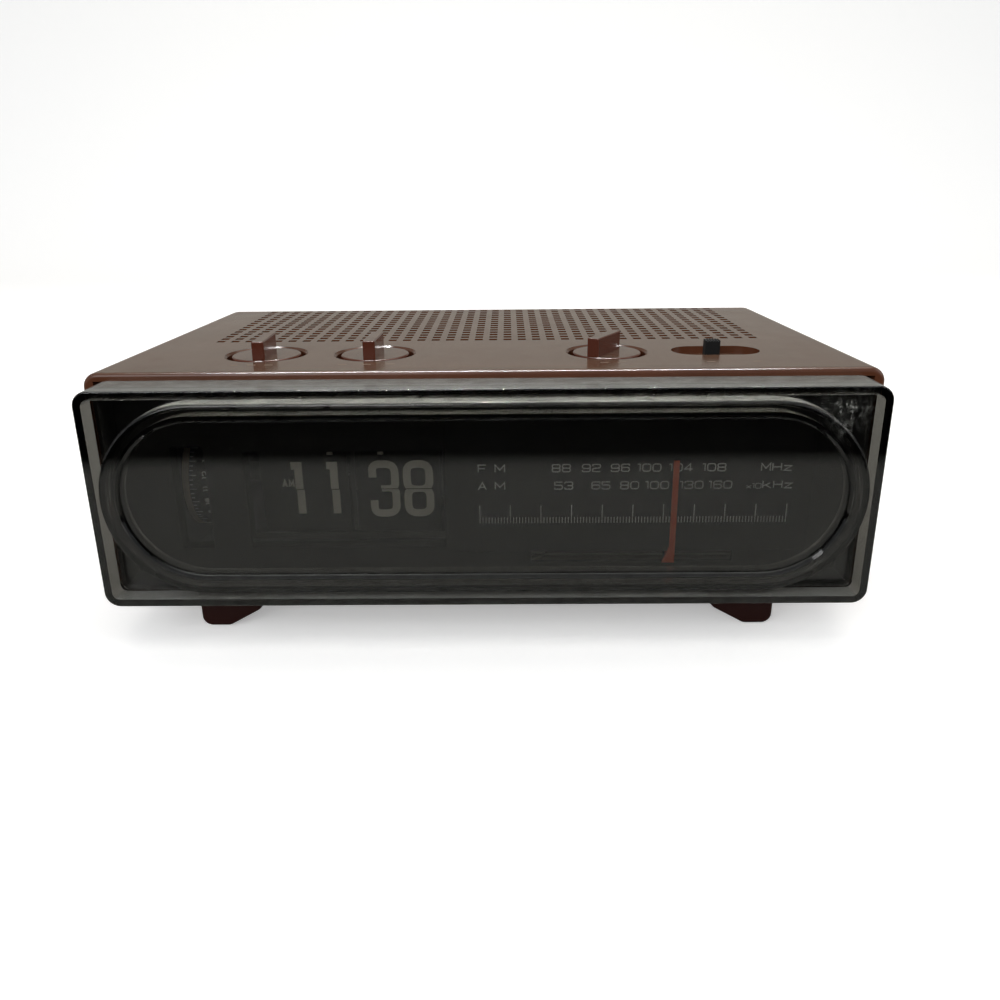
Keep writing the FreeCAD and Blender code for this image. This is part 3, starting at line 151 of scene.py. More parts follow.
def moulded(name, colour, rough, mottle=0.12, grain=0.02, grain_scale=2600.0, specular=0.5, dust=0.0):
    """Moulded plastic: slow mottling, fine surface grain in mm, hairline scratches and settled dust."""
    s = Shader(name)
    slow = s.noise(38.0, 4.0)
    base = s.blend(s.spread(slow, 0.0, 1.0), rgba(colour, 1 - mottle), rgba(colour, 1 + mottle))
    if dust:
        patches = s.spread(s.noise(520.0, 6.0), 0.2, 1.0)
        settled = s.maths("MULTIPLY", s.spread(s.facing_up(), 0.0, dust, 0.6, 1.0), patches)
        base = s.blend(settled, base, DUST_COLOUR)
    hairs = s.noise(900.0, 2.0, (1.0, 0.04, 1.0), 0.7)
    handled = s.maths("ADD", s.noise(60.0), s.maths("MULTIPLY", hairs, 0.4))
    roughness = s.spread(handled, rough * 0.75, rough * 1.3, 0.4, 1.0)
    height = s.maths("ADD", s.noise(grain_scale, 2.0), s.maths("MULTIPLY", hairs, 0.25))
    s.principled(Base_Color=base, Roughness=roughness, Specular_IOR_Level=specular,
                 Normal=s.bump(height, 0.5, grain * MM))
    return s.material


def metal(name, colour, rough, stretch=(1.0, 14.0, 14.0), tarnish=0.25):
    """Drawn, brushed or plated metal with drawing lines and dull patches."""
    s = Shader(name)
    lines = s.noise(700.0, 3.0, stretch, 0.6)
    dull = s.noise(55.0, 5.0)
    base = s.blend(s.spread(dull, 0.0, tarnish * 2), rgba(colour), rgba(colour, 0.45))
    s.principled(Base_Color=base, Metallic=1.0, Roughness=s.spread(lines, rough * 0.7, rough * 1.35),
                 Normal=s.bump(lines, 0.35, 0.02 * MM))
    return s.material


def printed(name, colour, wear=0.25):
    """Screen-printed ink, slightly uneven and worn through in specks."""
    s = Shader(name)
    speck = s.noise(1500.0, 4.0)
    base = s.blend(s.spread(speck, 0.0, wear, 0.45, 0.75), rgba(colour), rgba(colour, 0.45))
    s.principled(Base_Color=base, Roughness=0.55, Specular_IOR_Level=0.3,
                 Normal=s.bump(speck, 0.3, 0.01 * MM))
    return s.material


STRIPE_DEPTH = 0.08 * MM


def striped(name, dark, light, scale, axis, rough, metallic=0.0):
    """Laminations, windings, twisted cord: fine bands with relief."""
    s = Shader(name)
    bands = s.bands(scale, axis)
    base = s.blend(s.maths("MULTIPLY", bands, s.spread(s.noise(300.0), 0.6, 1.0)), rgba(dark), rgba(light))
    s.principled(Base_Color=base, Roughness=rough, Metallic=metallic,
                 Normal=s.bump(bands, 0.8, STRIPE_DEPTH))
    return s.material


def fibrous(name, dark, light, rough, scale=420.0, depth=0.05):
    """Pressed paper or paper laminate: short fibres and blotches."""
    s = Shader(name)
    fibres = s.noise(scale, 6.0, (1.0, 2.2, 1.4), 0.75)
    base = s.blend(s.spread(fibres, 0.0, 1.0), rgba(dark), rgba(light))
    s.principled(Base_Color=base, Roughness=rough, Normal=s.bump(fibres, 0.7, depth * MM))
    return s.material


# ---------------------------------------------------------------- the smoked cover
SMOKE_COLOUR = (0.40, 0.39, 0.37, 1)
SMOKE_DENSITY = 620.0                # absorption per metre of the dark plastic
CLEAR = (1, 1, 1, 1)
ACRYLIC_IOR = 1.49
SHADOW_TINT = (0.97, 0.97, 0.96, 1)  # lamps shine in through the cover almost unchanged
WORN_COLOUR = (0.42, 0.43, 0.40, 1)
WORN_COVER = 0.5                     # how far dust and scuffs hide the plastic
SCUFF_AT = (0.127, -0.080, 0.0905)   # worn patch in the upper right corner of the cover
SCUFF_SIZE = 0.013


def cover_wear(s):
    """0 on clean plastic, 1 in a fleck, a speck or thick dust."""
    far = s.add("ShaderNodeVectorMath", Vector=s.coords)
    far.operation = "DISTANCE"
    far.inputs[1].default_value = SCUFF_AT
    near_corner = s.spread(far.outputs["Value"], 1.0, 0.0, 0.2 * SCUFF_SIZE, SCUFF_SIZE)
    flecks = s.spread(s.noise(430.0, 8.0, (1.0, 1.0, 0.7), 0.8), 0.0, 1.0, 0.5, 0.66)
    specks = s.spread(s.noise(1500.0, 1.0), 0.0, 0.5, 0.80, 0.82)
    patches = s.spread(s.noise(160.0, 6.0), 0.35, 0.6)
    settled = s.maths("MULTIPLY", s.spread(s.facing_up(), 0.0, 1.0, 0.7, 0.99), patches)
    scuffed = s.maths("MAXIMUM", s.maths("MULTIPLY", near_corner, flecks), specks)
    return s.maths("MAXIMUM", scuffed, settled)


def smoked_plastic():
    """Clear dark plastic that light passes; dusty on top, specked, with one scuffed corner."""
    s = Shader("smoked_plastic")
    scuffed = cover_wear(s)
    haze = s.spread(s.noise(45.0, 5.0), 0.005, 0.02)
    clear = s.add("ShaderNodeBsdfPrincipled", Base_Color=CLEAR, IOR=ACRYLIC_IOR, Transmission_Weight=1.0,
                  Roughness=s.maths("ADD", haze, s.maths("MULTIPLY", scuffed, 0.4)))
    worn = s.add("ShaderNodeBsdfPrincipled", Base_Color=WORN_COLOUR, Roughness=0.7)
    surface = s.mix(s.maths("MULTIPLY", scuffed, WORN_COVER), clear, worn)
    shadow_ray = s.add("ShaderNodeLightPath").outputs["Is Shadow Ray"]
    surface = s.mix(shadow_ray, surface, s.add("ShaderNodeBsdfTransparent", Color=SHADOW_TINT))
    s.plug(s.output.inputs["Surface"], surface.outputs[0])
    smoke = s.add("ShaderNodeVolumeAbsorption", Color=SMOKE_COLOUR, Density=SMOKE_DENSITY)
    s.plug(s.output.inputs["Volume"], smoke.outputs[0])
    return s.material


def lamp_glass():
    """Thin clear bulb glass."""
    s = Shader("lamp_glass")
    s.principled(Base_Color=(0.92, 0.90, 0.84, 1), Roughness=s.spread(s.noise(300.0), 0.03, 0.12),
                 IOR=1.45, Transmission_Weight=0.85)
    return s.material


# ---------------------------------------------------------------- finish of every CAD node
def finishes():
    """Material of every CAD node."""
    return {
        moulded("cabinet_brown", (0.095, 0.033, 0.016), 0.17, 0.10, 0.006, 2200.0, 0.34, 0.30):
            ["cabinet_shell"],
        moulded("knob_brown", (0.085, 0.020, 0.009), 0.18, 0.08, 0.006, 2600.0, 0.38, 0.40):
            ["sleep_knob", "function_knob", "volume_knob"],
        moulded("matt_black", (0.006, 0.006, 0.006), 0.6, 0.15, 0.006, 3200.0, 0.15):
            ["band_button", "pointer_carriage"],
        moulded("leaf_black", (0.014, 0.014, 0.013), 0.55, 0.12, 0.003, 3600.0, 0.25):
            ["minute_leaves", "hour_leaves", "minute_flap", "hour_flap", "display_leaves"],
        moulded("clock_dark", (0.020, 0.020, 0.019), 0.6, 0.12, 0.004):
            ["clock_frame", "minute_drum", "hour_drum", "motor_pinion"],
        moulded("pale_nylon", (0.50, 0.48, 0.41), 0.42):
            ["leaf_catches", "tuning_drum", "idler_front_left", "idler_front_right", "idler_rear_right"],
        metal("plain_steel", (0.56, 0.56, 0.55), 0.32):
            ["control_plate", "clock_axle", "tuning_spindle", "spindle_bracket", "time_gear"],
        metal("zinc_plated", (0.63, 0.61, 0.55), 0.36, (1.0, 1.0, 1.0), 0.4):
            ["sleep_timer", "volume_control", "clock_motor", "speaker_frame"],
        moulded("ferrite_grey", (0.035, 0.035, 0.038), 0.5, 0.2, 0.05, 1800.0):
            ["ferrite_rod", "speaker_magnet"],
        # Feet: brown darkened far below the cabinet's, painted shade standing for the shade under the
        # cabinet.
        moulded("foot_brown_painted_shade", (0.020, 0.004, 0.003), 0.5, 0.1, 0.01, 2600.0, 0.15):
            ["feet"],
        moulded("cover_brown", (0.085, 0.045, 0.030), 0.42, 0.12, 0.05, 1700.0):
            ["bottom_cover"],
        smoked_plastic():
            ["front_lens"],
        moulded("panel_black", (0.016, 0.016, 0.015), 0.65, 0.2, 0.004, 2800.0, 0.2):
            ["dial_panel"],
        moulded("scale_black", (0.013, 0.013, 0.013), 0.55, 0.2, 0.003, 3000.0, 0.25):
            ["scale_plate"],
        moulded("side_knob_black", (0.020, 0.018, 0.017), 0.34, 0.1, 0.02):
            ["alarm_knob", "time_knob", "tuning_knob"],
        moulded("switch_brown", (0.26, 0.15, 0.07), 0.5):
            ["band_switch_body", "function_switch"],
        metal("blackened_steel", (0.05, 0.05, 0.05), 0.45):
            ["pointer_rail", "lamp_holder"],
        moulded("alarm_black", (0.015, 0.015, 0.015), 0.6, 0.15, 0.003):
            ["alarm_drum"],
        lamp_glass():
            ["dial_lamp"],
        moulded("case_white", (0.72, 0.70, 0.62), 0.25):
            ["variable_capacitor"],
        striped("woven_cord", (0.10, 0.09, 0.07), (0.20, 0.18, 0.14), 520.0, "DIAGONAL", 0.8):
            ["dial_cord"],
        moulded("pointer_red", (0.80, 0.15, 0.06), 0.4, 0.1, 0.004):
            ["dial_pointer"],
        fibrous("paper_laminate", (0.22, 0.11, 0.035), (0.36, 0.20, 0.075), 0.5):
            ["circuit_board"],
        metal("can_aluminium", (0.72, 0.73, 0.74), 0.3, (14.0, 14.0, 1.0)):
            ["tuned_cans"],
        moulded("blue_sleeve", (0.02, 0.05, 0.16), 0.28):
            ["electrolytic_capacitors"],
        striped("copper_winding", (0.20, 0.07, 0.02), (0.62, 0.30, 0.12), 900.0, "X", 0.35, 0.6):
            ["aerial_coil", "transformer_coil"],
        striped("laminations", (0.05, 0.05, 0.055), (0.16, 0.16, 0.17), 320.0, "Y", 0.45, 0.7):
            ["transformer_core"],
        moulded("black_rubber", (0.014, 0.014, 0.014), 0.72, 0.2, 0.06, 1500.0, 0.3):
            ["cord_inlet", "foot_pads"],
        fibrous("cone_paper", (0.020, 0.019, 0.018), (0.050, 0.046, 0.042), 0.85, 520.0, 0.1):
            ["speaker_cone"],
        metal("screw_steel", (0.55, 0.55, 0.52), 0.28, (1.0, 1.0, 1.0), 0.35):
            ["cover_screws", "assembly_screws"],
    }


def apply_finishes():
    """Give every CAD node its one material."""
    done = set()
    for material, names in finishes().items():
        for name in names:
            mesh = NODES[name].data
            mesh.materials.clear()
            mesh.materials.append(material)
            done.add(name)
    missing = set(NODES) - done
    assert not missing, missing


# ---------------------------------------------------------------- figures drawn as strokes
# Each glyph is drawn in a unit square: strokes of (x, height) points. "round" turns their corners, and
# "ring" closes them as well.
GLYPHS = {
    "0": [("ring", [(0, 0), (1, 0), (1, 1), (0, 1)])],
    "1": [("sharp", [(-0.32, 0.98), (0.0, 0.98), (0.0, 0.0)])],
    "2": [("round", [(0, 0.76), (0, 1), (1, 1), (1, 0.52), (0, 0.42), (0, 0)]),
          ("sharp", [(0, 0), (1, 0)])],
    "3": [("round", [(0, 0.74), (0, 1), (1, 1), (1, 0.51), (0.36, 0.51)]),
          ("round", [(0.36, 0.51), (1, 0.51), (1, 0), (0, 0), (0, 0.26)])],
    "4": [("sharp", [(0.72, 0), (0.72, 1), (0, 0.28), (1, 0.28)])],
    "5": [("sharp", [(1, 1), (0, 1), (0, 0.56)]),
          ("round", [(0, 0.56), (1, 0.56), (1, 0), (0, 0), (0, 0.2)])],
    "6": [("round", [(1, 0.8), (1, 1), (0, 1), (0, 0.5)]),
          ("ring", [(0, 0), (1, 0), (1, 0.56), (0, 0.56)])],
    "7": [("sharp", [(0, 1), (1, 1), (0.42, 0)])],
    "8": [("ring", [(0, 0), (1, 0), (1, 0.5), (0, 0.5)]), ("ring", [(0, 0.5), (1, 0.5), (1, 1), (0, 1)])],
    "9": [("round", [(0, 0.2), (0, 0), (1, 0), (1, 0.5)]),
          ("ring", [(0, 0.44), (1, 0.44), (1, 1), (0, 1)])],
    "A": [("sharp", [(0, 0), (0.5, 1), (1, 0)]), ("sharp", [(0.2, 0.34), (0.8, 0.34)])],
    "F": [("sharp", [(0, 0), (0, 1), (1, 1)]), ("sharp", [(0, 0.5), (0.85, 0.5)])],
    "H": [("sharp", [(0, 0), (0, 1)]), ("sharp", [(1, 0), (1, 1)]), ("sharp", [(0, 0.5), (1, 0.5)])],
    "M": [("sharp", [(0, 0), (0, 1), (0.5, 0.3), (1, 1), (1, 0)])],
    "k": [("sharp", [(0, 0), (0, 1)]), ("sharp", [(0.85, 0.7), (0.0, 0.28)]),
          ("sharp", [(0.3, 0.42), (1, 0)])],
    "x": [("sharp", [(0, 0), (0.9, 0.62)]), ("sharp", [(0, 0.62), (0.9, 0)])],
    "z": [("sharp", [(0, 0.66), (0.9, 0.66), (0, 0), (0.9, 0)])],
}
NARROW = {"1": 0.34, "z": 0.85, "x": 0.8}      # widths of glyphs that don't fill the unit square
ONE_FLAG = 0.32                      # reach of the flag of a 1, left of its stem
CORNER_STEPS = 6
MITRE_LIMIT = 0.45                   # least cosine used, so a sharp corner's mitre stays short
TINY = 1e-9                          # a step shorter than this has no direction


def rounded(points, radius, closed):
    """Polyline with its corners turned by short arcs."""
    count = len(points)
    line = []
    for i, corner in enumerate(points):
        if not closed and i in (0, count - 1):
            line.append(Vector(corner))
            continue
        here = Vector(corner)
        before, after = Vector(points[i - 1]), Vector(points[(i + 1) % count])
        cut = min(radius, 0.49 * (before - here).length, 0.49 * (after - here).length)
        start = here + (before - here).normalized() * cut
        end = here + (after - here).normalized() * cut
        for step in range(CORNER_STEPS + 1):
            t = step / CORNER_STEPS
            line.append(start * (1 - t) ** 2 + here * 2 * t * (1 - t) + end * t * t)
    return line


def ribbon(line, weight, closed):
    """Quads along a polyline, with mitred joints."""
    count = len(line)
    sides = []
    for i, here in enumerate(line):
        before = line[i - 1] if closed or i else here
        after = line[(i + 1) % count] if closed or i < count - 1 else here
        a, b = (here - before), (after - here)
        a = a.normalized() if a.length > TINY else b.normalized()
        b = b.normalized() if b.length > TINY else a
        along = (a + b).normalized()
        reach = weight / 2 / max(MITRE_LIMIT, along.dot(a))
        across = Vector((-along.y, along.x)) * reach
        sides.append((here + across, here - across))
    last = count if closed else count - 1
    quads = []
    for i in range(last):
        (a, b), (c, d) = sides[i], sides[(i + 1) % count]
        quads.append([a, b, d, c])
    return quads


def glyph(char, left, base, width, height, weight, corner):
    """Outline pieces of one character; left and base are where its ink starts."""
    pieces = []
    inner_w, inner_h = width - weight, height - weight
    shift = weight / 2 + (ONE_FLAG * inner_w if char == "1" else 0.0)
    for kind, points in GLYPHS[char]:
        placed = [(left + shift + x * inner_w, base + weight / 2 + z * inner_h) for x, z in points]
        closed = kind == "ring"
        line = [Vector(p) for p in placed] if kind == "sharp" else rounded(placed, corner, closed)
        pieces += ribbon(line, weight, closed)
    return pieces


def advance(char, width, weight):
    """Inked width of a character."""
    return weight + (width - weight) * NARROW.get(char, 1.0)


def word(text, middle, base, width, height, weight, corner, gap):
    """Outline pieces of a word centred on an x."""
    total = sum(advance(c, width, weight) for c in text) + gap * (len(text) - 1)
    x = middle - total / 2
    pieces = []
    for char in text:
        pieces += glyph(char, x, base, width, height, weight, corner)
        x += advance(char, width, weight) + gap
    return pieces


def bar(x0, x1, z0, z1):
    """Plain rectangle."""
    return [Vector((x0, z0)), Vector((x1, z0)), Vector((x1, z1)), Vector((x0, z1))]


def flat_mesh(pieces):
    """Triangles that cover overlapping outlines once, as a bmesh in the XZ plane."""
    points, faces = [], []
    for piece in pieces:
        faces.append(list(range(len(points), len(points) + len(piece))))
        points += [Vector((p.x / MM, p.y / MM)) for p in piece]
    found, _, triangles, _, _, origins = delaunay_2d_cdt(points, [], faces, 1, 1e-4)
    bm = bmesh.new()
    corners = [bm.verts.new((p.x * MM, 0.0, p.y * MM)) for p in found]
    for triangle, origin in zip(triangles, origins):
        if origin:                   # an eye of a figure lies in no stroke
            bm.faces.new([corners[i] for i in triangle])
    bmesh.ops.delete(bm, geom=[v for v in bm.verts if not v.link_faces], context="VERTS")
    return bm


def keep_side(bm, level, above):
    """Cut a flat mesh at a height and keep one side."""
    geometry = bm.verts[:] + bm.edges[:] + bm.faces[:]
    bmesh.ops.bisect_plane(bm, geom=geometry, dist=1e-7, plane_co=(0, 0, level), plane_no=(0, 0, 1),
                           clear_inner=above, clear_outer=not above)


def ink(name, bm, material, body, y, facing=-1):
    """Solid film of ink on a face at y; facing is the way it looks along Y."""
    bmesh.ops.recalc_face_normals(bm, faces=bm.faces)
    front = bmesh.ops.extrude_face_region(bm, geom=bm.faces[:])
    moved = [v for v in front["geom"] if isinstance(v, bmesh.types.BMVert)]
    bmesh.ops.translate(bm, verts=moved, vec=(0, facing * INK, 0))
    bmesh.ops.translate(bm, verts=bm.verts[:], vec=(0, y + facing * PROUD, 0))
    bmesh.ops.recalc_face_normals(bm, faces=bm.faces)
    return add_piece(name, bm, material, body)


def add_piece(name, bm, material, body):
    """Object from a bmesh, riding on a body."""
    mesh = bpy.data.meshes.new(name)
    bm.to_mesh(mesh)
    bm.free()
    mesh.materials.append(material)
    piece = bpy.data.objects.new(name, mesh)
    bpy.context.scene.collection.objects.link(piece)
    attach(piece, body)
    return piece


# ---------------------------------------------------------------- numbers of the flip leaves
DIGIT_HEIGHT = 23.6 * MM
DIGIT_WIDTH = 11.6 * MM
DIGIT_WEIGHT = 3.0 * MM
DIGIT_CORNER = 3.6 * MM
DIGIT_GAP = 1.6 * MM
HALF_LETTERS = (2.2 * MM, 3.3 * MM, 0.62 * MM, 0.3 * MM, 0.35 * MM)  # width to gap, as word() takes them
HALF_PLACE = (10.6 * MM, 1.1 * MM)   # right of the hour leaf's edge, and above the hinge line
HOUR_SHIFT, MINUTE_SHIFT = 3.4 * MM, 1.2 * MM       # numbers stand right of their leaf's middle
HOUR_GAP = 7.7 * MM
LEAF_THICK = 0.4 * MM
UPPER_CUT, LOWER_CUT = 0.42 * MM, -0.45 * MM        # where the ink ends, from the hinge line
HINGE_Z = joint_place("minute_fall")[2]             # height of the line that the leaves fall about


def leaf_pieces(digits, middle, gap, with_half):
    """Outlines of a leaf pair's number, centred on the hinge line."""
    base = HINGE_Z - DIGIT_HEIGHT / 2
    pieces = word(digits, middle, base, DIGIT_WIDTH, DIGIT_HEIGHT, DIGIT_WEIGHT, DIGIT_CORNER, gap)
    if with_half:
        low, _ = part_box("hour_flap")
        right, above = HALF_PLACE
        pieces += word("AM", low.x + right, HINGE_Z + above, *HALF_LETTERS)
    return pieces


def flip_numbers(cream):
    """The shown number and the next one, each half on the leaf that carries it."""
    still_low, still_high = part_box("display_leaves")
    lower_face = still_high.y - LEAF_THICK          # front of the lower leaves
    upper_face = still_low.y                        # front of the waiting upper leaves
    groups = (
        ("hour", "11", "12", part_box("hour_flap"), HOUR_SHIFT, HOUR_GAP, True),
        ("minute", "38", "39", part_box("minute_flap"), MINUTE_SHIFT, DIGIT_GAP, False),
    )
    for kind, shown, following, (low, high), shift, gap, with_half in groups:
        middle = (low.x + high.x) / 2 + shift
        flap_front, flap_back = low.y, low.y + LEAF_THICK
        body = kind + "_leaf"
        for name, digits, above, rides, y, facing in (
            ("shown_upper", shown, True, body, flap_front, -1),
            ("shown_lower", shown, False, "cabinet", lower_face, -1),
            ("next_upper", following, True, "cabinet", upper_face, -1),
            ("next_lower", following, False, body, flap_back, 1),
        ):
            bm = flat_mesh(leaf_pieces(digits, middle, gap, with_half and above))
            keep_side(bm, HINGE_Z + (UPPER_CUT if above else LOWER_CUT), above)
            if name == "next_lower":                # upside down until its leaf has fallen
                bmesh.ops.transform(bm, matrix=Matrix.Scale(-1, 4, (0, 0, 1)), verts=bm.verts[:])
                bmesh.ops.translate(bm, verts=bm.verts[:], vec=(0, 0, 2 * HINGE_Z))
            ink(f"{kind}_number_{name}", bm, cream, rides, y, facing)


# ---------------------------------------------------------------- radio scale
SCALE_WIDTH, SCALE_TALL, SCALE_WEIGHT = 3.3 * MM, 3.2 * MM, 0.40 * MM
SCALE_CORNER, SCALE_GAP = 0.9 * MM, 0.5 * MM
WIDE_M, WIDE_MHZ, WIDE_KHZ = 3.9 * MM, 3.6 * MM, 3.5 * MM
TIMES_TEN = (2.3 * MM, 2.1 * MM, 0.24 * MM, 0.5 * MM, 0.3 * MM)      # width to gap, as word() takes them
UPPER_ROW, LOWER_ROW = 63.75 * MM, 56.85 * MM
BAND_LETTERS = (-0.6, 6.0)           # middles of what stands in a row, in mm from here on
UPPER_NUMBERS = (("88", 28.8), ("92", 40.0), ("96", 50.7), ("100", 61.4), ("104", 73.1), ("108", 85.4))
LOWER_NUMBERS = (("53", 29.8), ("65", 43.7), ("80", 54.4), ("100", 64.6), ("130", 77.4), ("160", 88.1))
MHZ_X, TIMES_TEN_X, KHZ_X = 108.4, 100.6, 109.3
TICK_LEFT, TICK_STEP, TICK_COUNT = -1.7 * MM, 11.54 * MM, 11
TICK_BASE, TICK_LONG, TICK_SHORT = 43.4 * MM, 7.3 * MM, 2.4 * MM
TICK_HALF = 0.17 * MM
TICK_PARTS = 10                      # short ticks divide each long step in ten


def label(text, x, base, width=SCALE_WIDTH):
    """Outline pieces of a word on the dial, centred on x in mm."""
    return word(text, x * MM, base, width, SCALE_TALL, SCALE_WEIGHT, SCALE_CORNER, SCALE_GAP)


def scale_print(pale):
    """Band labels, frequencies and the tuning ruler on the dial plate."""
    pieces = []
    for text, base in (("F", UPPER_ROW), ("A", LOWER_ROW)):
        pieces += label(text, BAND_LETTERS[0], base) + label("M", BAND_LETTERS[1], base, WIDE_M)
    for numbers, base in ((UPPER_NUMBERS, UPPER_ROW), (LOWER_NUMBERS, LOWER_ROW)):
        for text, x in numbers:
            pieces += label(text, x, base)
    pieces += label("MHz", MHZ_X, UPPER_ROW, WIDE_MHZ)
    pieces += word("x10", TIMES_TEN_X * MM, LOWER_ROW, *TIMES_TEN)
    pieces += label("kHz", KHZ_X, LOWER_ROW, WIDE_KHZ)
    for step in range(TICK_COUNT):
        x = TICK_LEFT + step * TICK_STEP
        pieces.append(bar(x - TICK_HALF, x + TICK_HALF, TICK_BASE, TICK_BASE + TICK_LONG))
        if step == TICK_COUNT - 1:
            break
        for minor in range(1, TICK_PARTS):
            mx = x + minor * TICK_STEP / TICK_PARTS
            pieces.append(bar(mx - TICK_HALF, mx + TICK_HALF, TICK_BASE, TICK_BASE + TICK_SHORT))
    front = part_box("scale_plate")[0].y
    ink("scale_print", flat_mesh(pieces), pale, "cabinet", front)


# ---------------------------------------------------------------- alarm drum
DRUM_HOURS = 24
DRUM_TICKS = 3                       # steps from one hour to the next
DRUM_FACE = 15.0 * MM                # printed width of the drum
MARK_START, HOUR_END, TICK_END = 3.0 * MM, 5.7 * MM, 4.4 * MM        # from the face's left edge
MARK_HALF = 0.16 * MM
HOUR_FIGURE = (1.9 * MM, 2.9 * MM, 0.42 * MM, 0.5 * MM, 0.35 * MM)   # width to gap, as word() takes them
FIGURE_BASE, FIGURE_X = -1.45 * MM, 9.4 * MM
FIRST_HOUR = 10                      # the strip starts with hour 11
BAND_START, BAND_END, BAND_PARTS = 0.2 * MM, 2.8 * MM, 6
WELD = 1e-6


def wrap_on_drum(bm, radius, centre_y, centre_z):
    """Roll a flat mesh, whose z is an arc length, onto the alarm drum."""
    for vertex in bm.verts:
        angle = vertex.co.z / radius
        reach = radius + vertex.co.y
        vertex.co.y = centre_y - reach * math.cos(angle)
        vertex.co.z = centre_z + reach * math.sin(angle)


def alarm_print(pale, tan):
    """Hour marks, sideways numbers and the pale edge of the alarm drum."""
    centre_y, centre_z = joint_place("alarm_spin")[1:]
    _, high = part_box("alarm_drum")
    radius = high.z - centre_z
    around = 2 * math.pi * radius
    edge = high.x - DRUM_FACE
    hour = around / DRUM_HOURS
    marks, band = [], []
    for step in range(DRUM_HOURS):
        arc = step * hour - around / 2
        marks.append(bar(edge + MARK_START, edge + HOUR_END, arc - MARK_HALF, arc + MARK_HALF))
        for minor in range(1, DRUM_TICKS):
            z = arc + minor * hour / DRUM_TICKS
            marks.append(bar(edge + MARK_START, edge + TICK_END, z - MARK_HALF, z + MARK_HALF))
        number = str((step + FIRST_HOUR) % 12 + 1)
        for piece in word(number, 0.0, FIGURE_BASE, *HOUR_FIGURE):
            marks.append([Vector((edge + FIGURE_X - p.y, arc + p.x)) for p in piece])
        for part in range(BAND_PARTS):
            z = arc + part * hour / BAND_PARTS
            band.append(bar(edge + BAND_START, edge + BAND_END, z, z + hour / BAND_PARTS))
    for name, outlines, material in (("alarm_drum_marks", marks, pale), ("alarm_drum_edge", band, tan)):
        bm = flat_mesh(outlines)
        skin = bmesh.ops.extrude_face_region(bm, geom=bm.faces[:])
        outer = [v for v in skin["geom"] if isinstance(v, bmesh.types.BMVert)]
        bmesh.ops.translate(bm, verts=outer, vec=(0, INK, 0))
        for vertex in bm.verts:
            vertex.co.y += PROUD
        wrap_on_drum(bm, radius, centre_y, centre_z)
        bmesh.ops.remove_doubles(bm, verts=bm.verts[:], dist=WELD)
        bmesh.ops.recalc_face_normals(bm, faces=bm.faces)
        add_piece(name, bm, material, "alarm_wheel")


# ---------------------------------------------------------------- marks on the cabinet top
TOP_MARKS = {                        # middles of the dashes, in mm from the middle of the control
    "sleep_knob": (-6.5, 0.0, 6.5),
    "function_knob": (-9.0, 0.0, 9.0),
    "volume_knob": (-3.2, 3.2),
    "band_button": (-5.0, 12.0),
}
DASH_FRONT, DASH_BACK, DASH_HALF = -57.6 * MM, -57.1 * MM, 1.5 * MM


def top_marks(pale):
    """Small plain printed dashes in front of the controls."""
    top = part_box("cabinet_shell")[1].z
    bm = bmesh.new()
    for name, offsets in TOP_MARKS.items():
        low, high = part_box(name)
        for offset in offsets:
            x = (low.x + high.x) / 2 + offset * MM
            flat = bar(x - DASH_HALF, x + DASH_HALF, DASH_FRONT, DASH_BACK)
            lower = [bm.verts.new((p.x, p.y, top + PROUD)) for p in flat]
            upper = [bm.verts.new((p.x, p.y, top + PROUD + INK)) for p in flat]
            bm.faces.new(lower[::-1])
            bm.faces.new(upper)
            for i in range(4):
                j = (i + 1) % 4
                bm.faces.new((lower[i], lower[j], upper[j], upper[i]))
    add_piece("control_marks", bm, pale, "cabinet")


# ---------------------------------------------------------------- stage, lights and camera
FLOOR_SHOWN = (0.99, 0.99, 0.985, 1.0)
FLOOR_LIT = (0.58, 0.58, 0.54, 1.0)
FLOOR_DARK = (0.015, 0.015, 0.015, 1.0)
FLOOR_GLOW = 0.34                    # lifts the paper to white where the camera sees it
DARK_EDGE = (-0.318, -0.288)         # where the floor in front darkens, out of the camera's sight


def paper():
    """Pale paper, seen whiter than it shines on the object, and dark far in front."""
    s = Shader("pale_paper")
    y = s.add("ShaderNodeSeparateXYZ", Vector=s.coords).outputs["Y"]
    lit = s.blend(s.spread(y, 0.0, 1.0, *DARK_EDGE), FLOOR_DARK, FLOOR_LIT)
    seen = s.add("ShaderNodeLightPath").outputs["Is Camera Ray"]
    s.principled(Base_Color=s.blend(seen, lit, FLOOR_SHOWN), Roughness=1.0, Specular_IOR_Level=0.0,
                 Emission_Color=CLEAR, Emission_Strength=s.maths("MULTIPLY", seen, FLOOR_GLOW))
    return s.material


SWEEP_HALF, SWEEP_FRONT, SWEEP_BACK, SWEEP_RADIUS, SWEEP_HEIGHT = 3.2, -2.6, 1.9, 0.7, 2.6
SWEEP_STEPS = 12


def sweep():
    """Pale floor that curves up behind into a backdrop."""
    bend = SWEEP_BACK - SWEEP_RADIUS
    profile = [(SWEEP_FRONT, 0.0), (bend, 0.0)]
    for step in range(1, SWEEP_STEPS + 1):
        a = math.pi / 2 * step / SWEEP_STEPS
        profile.append((bend + SWEEP_RADIUS * math.sin(a), SWEEP_RADIUS - SWEEP_RADIUS * math.cos(a)))
    profile.append((SWEEP_BACK, SWEEP_HEIGHT))
    bm = bmesh.new()
    rows = [[bm.verts.new((x, y, z)) for x in (-SWEEP_HALF, SWEEP_HALF)] for y, z in profile]
    for a, b in zip(rows, rows[1:]):
        bm.faces.new((a[0], a[1], b[1], b[0])).smooth = True
    mesh = bpy.data.meshes.new("floor_sweep")
    bm.to_mesh(mesh)
    bm.free()
    mesh.materials.append(paper())
    floor = bpy.data.objects.new("floor_sweep", mesh)
    bpy.context.scene.collection.objects.link(floor)


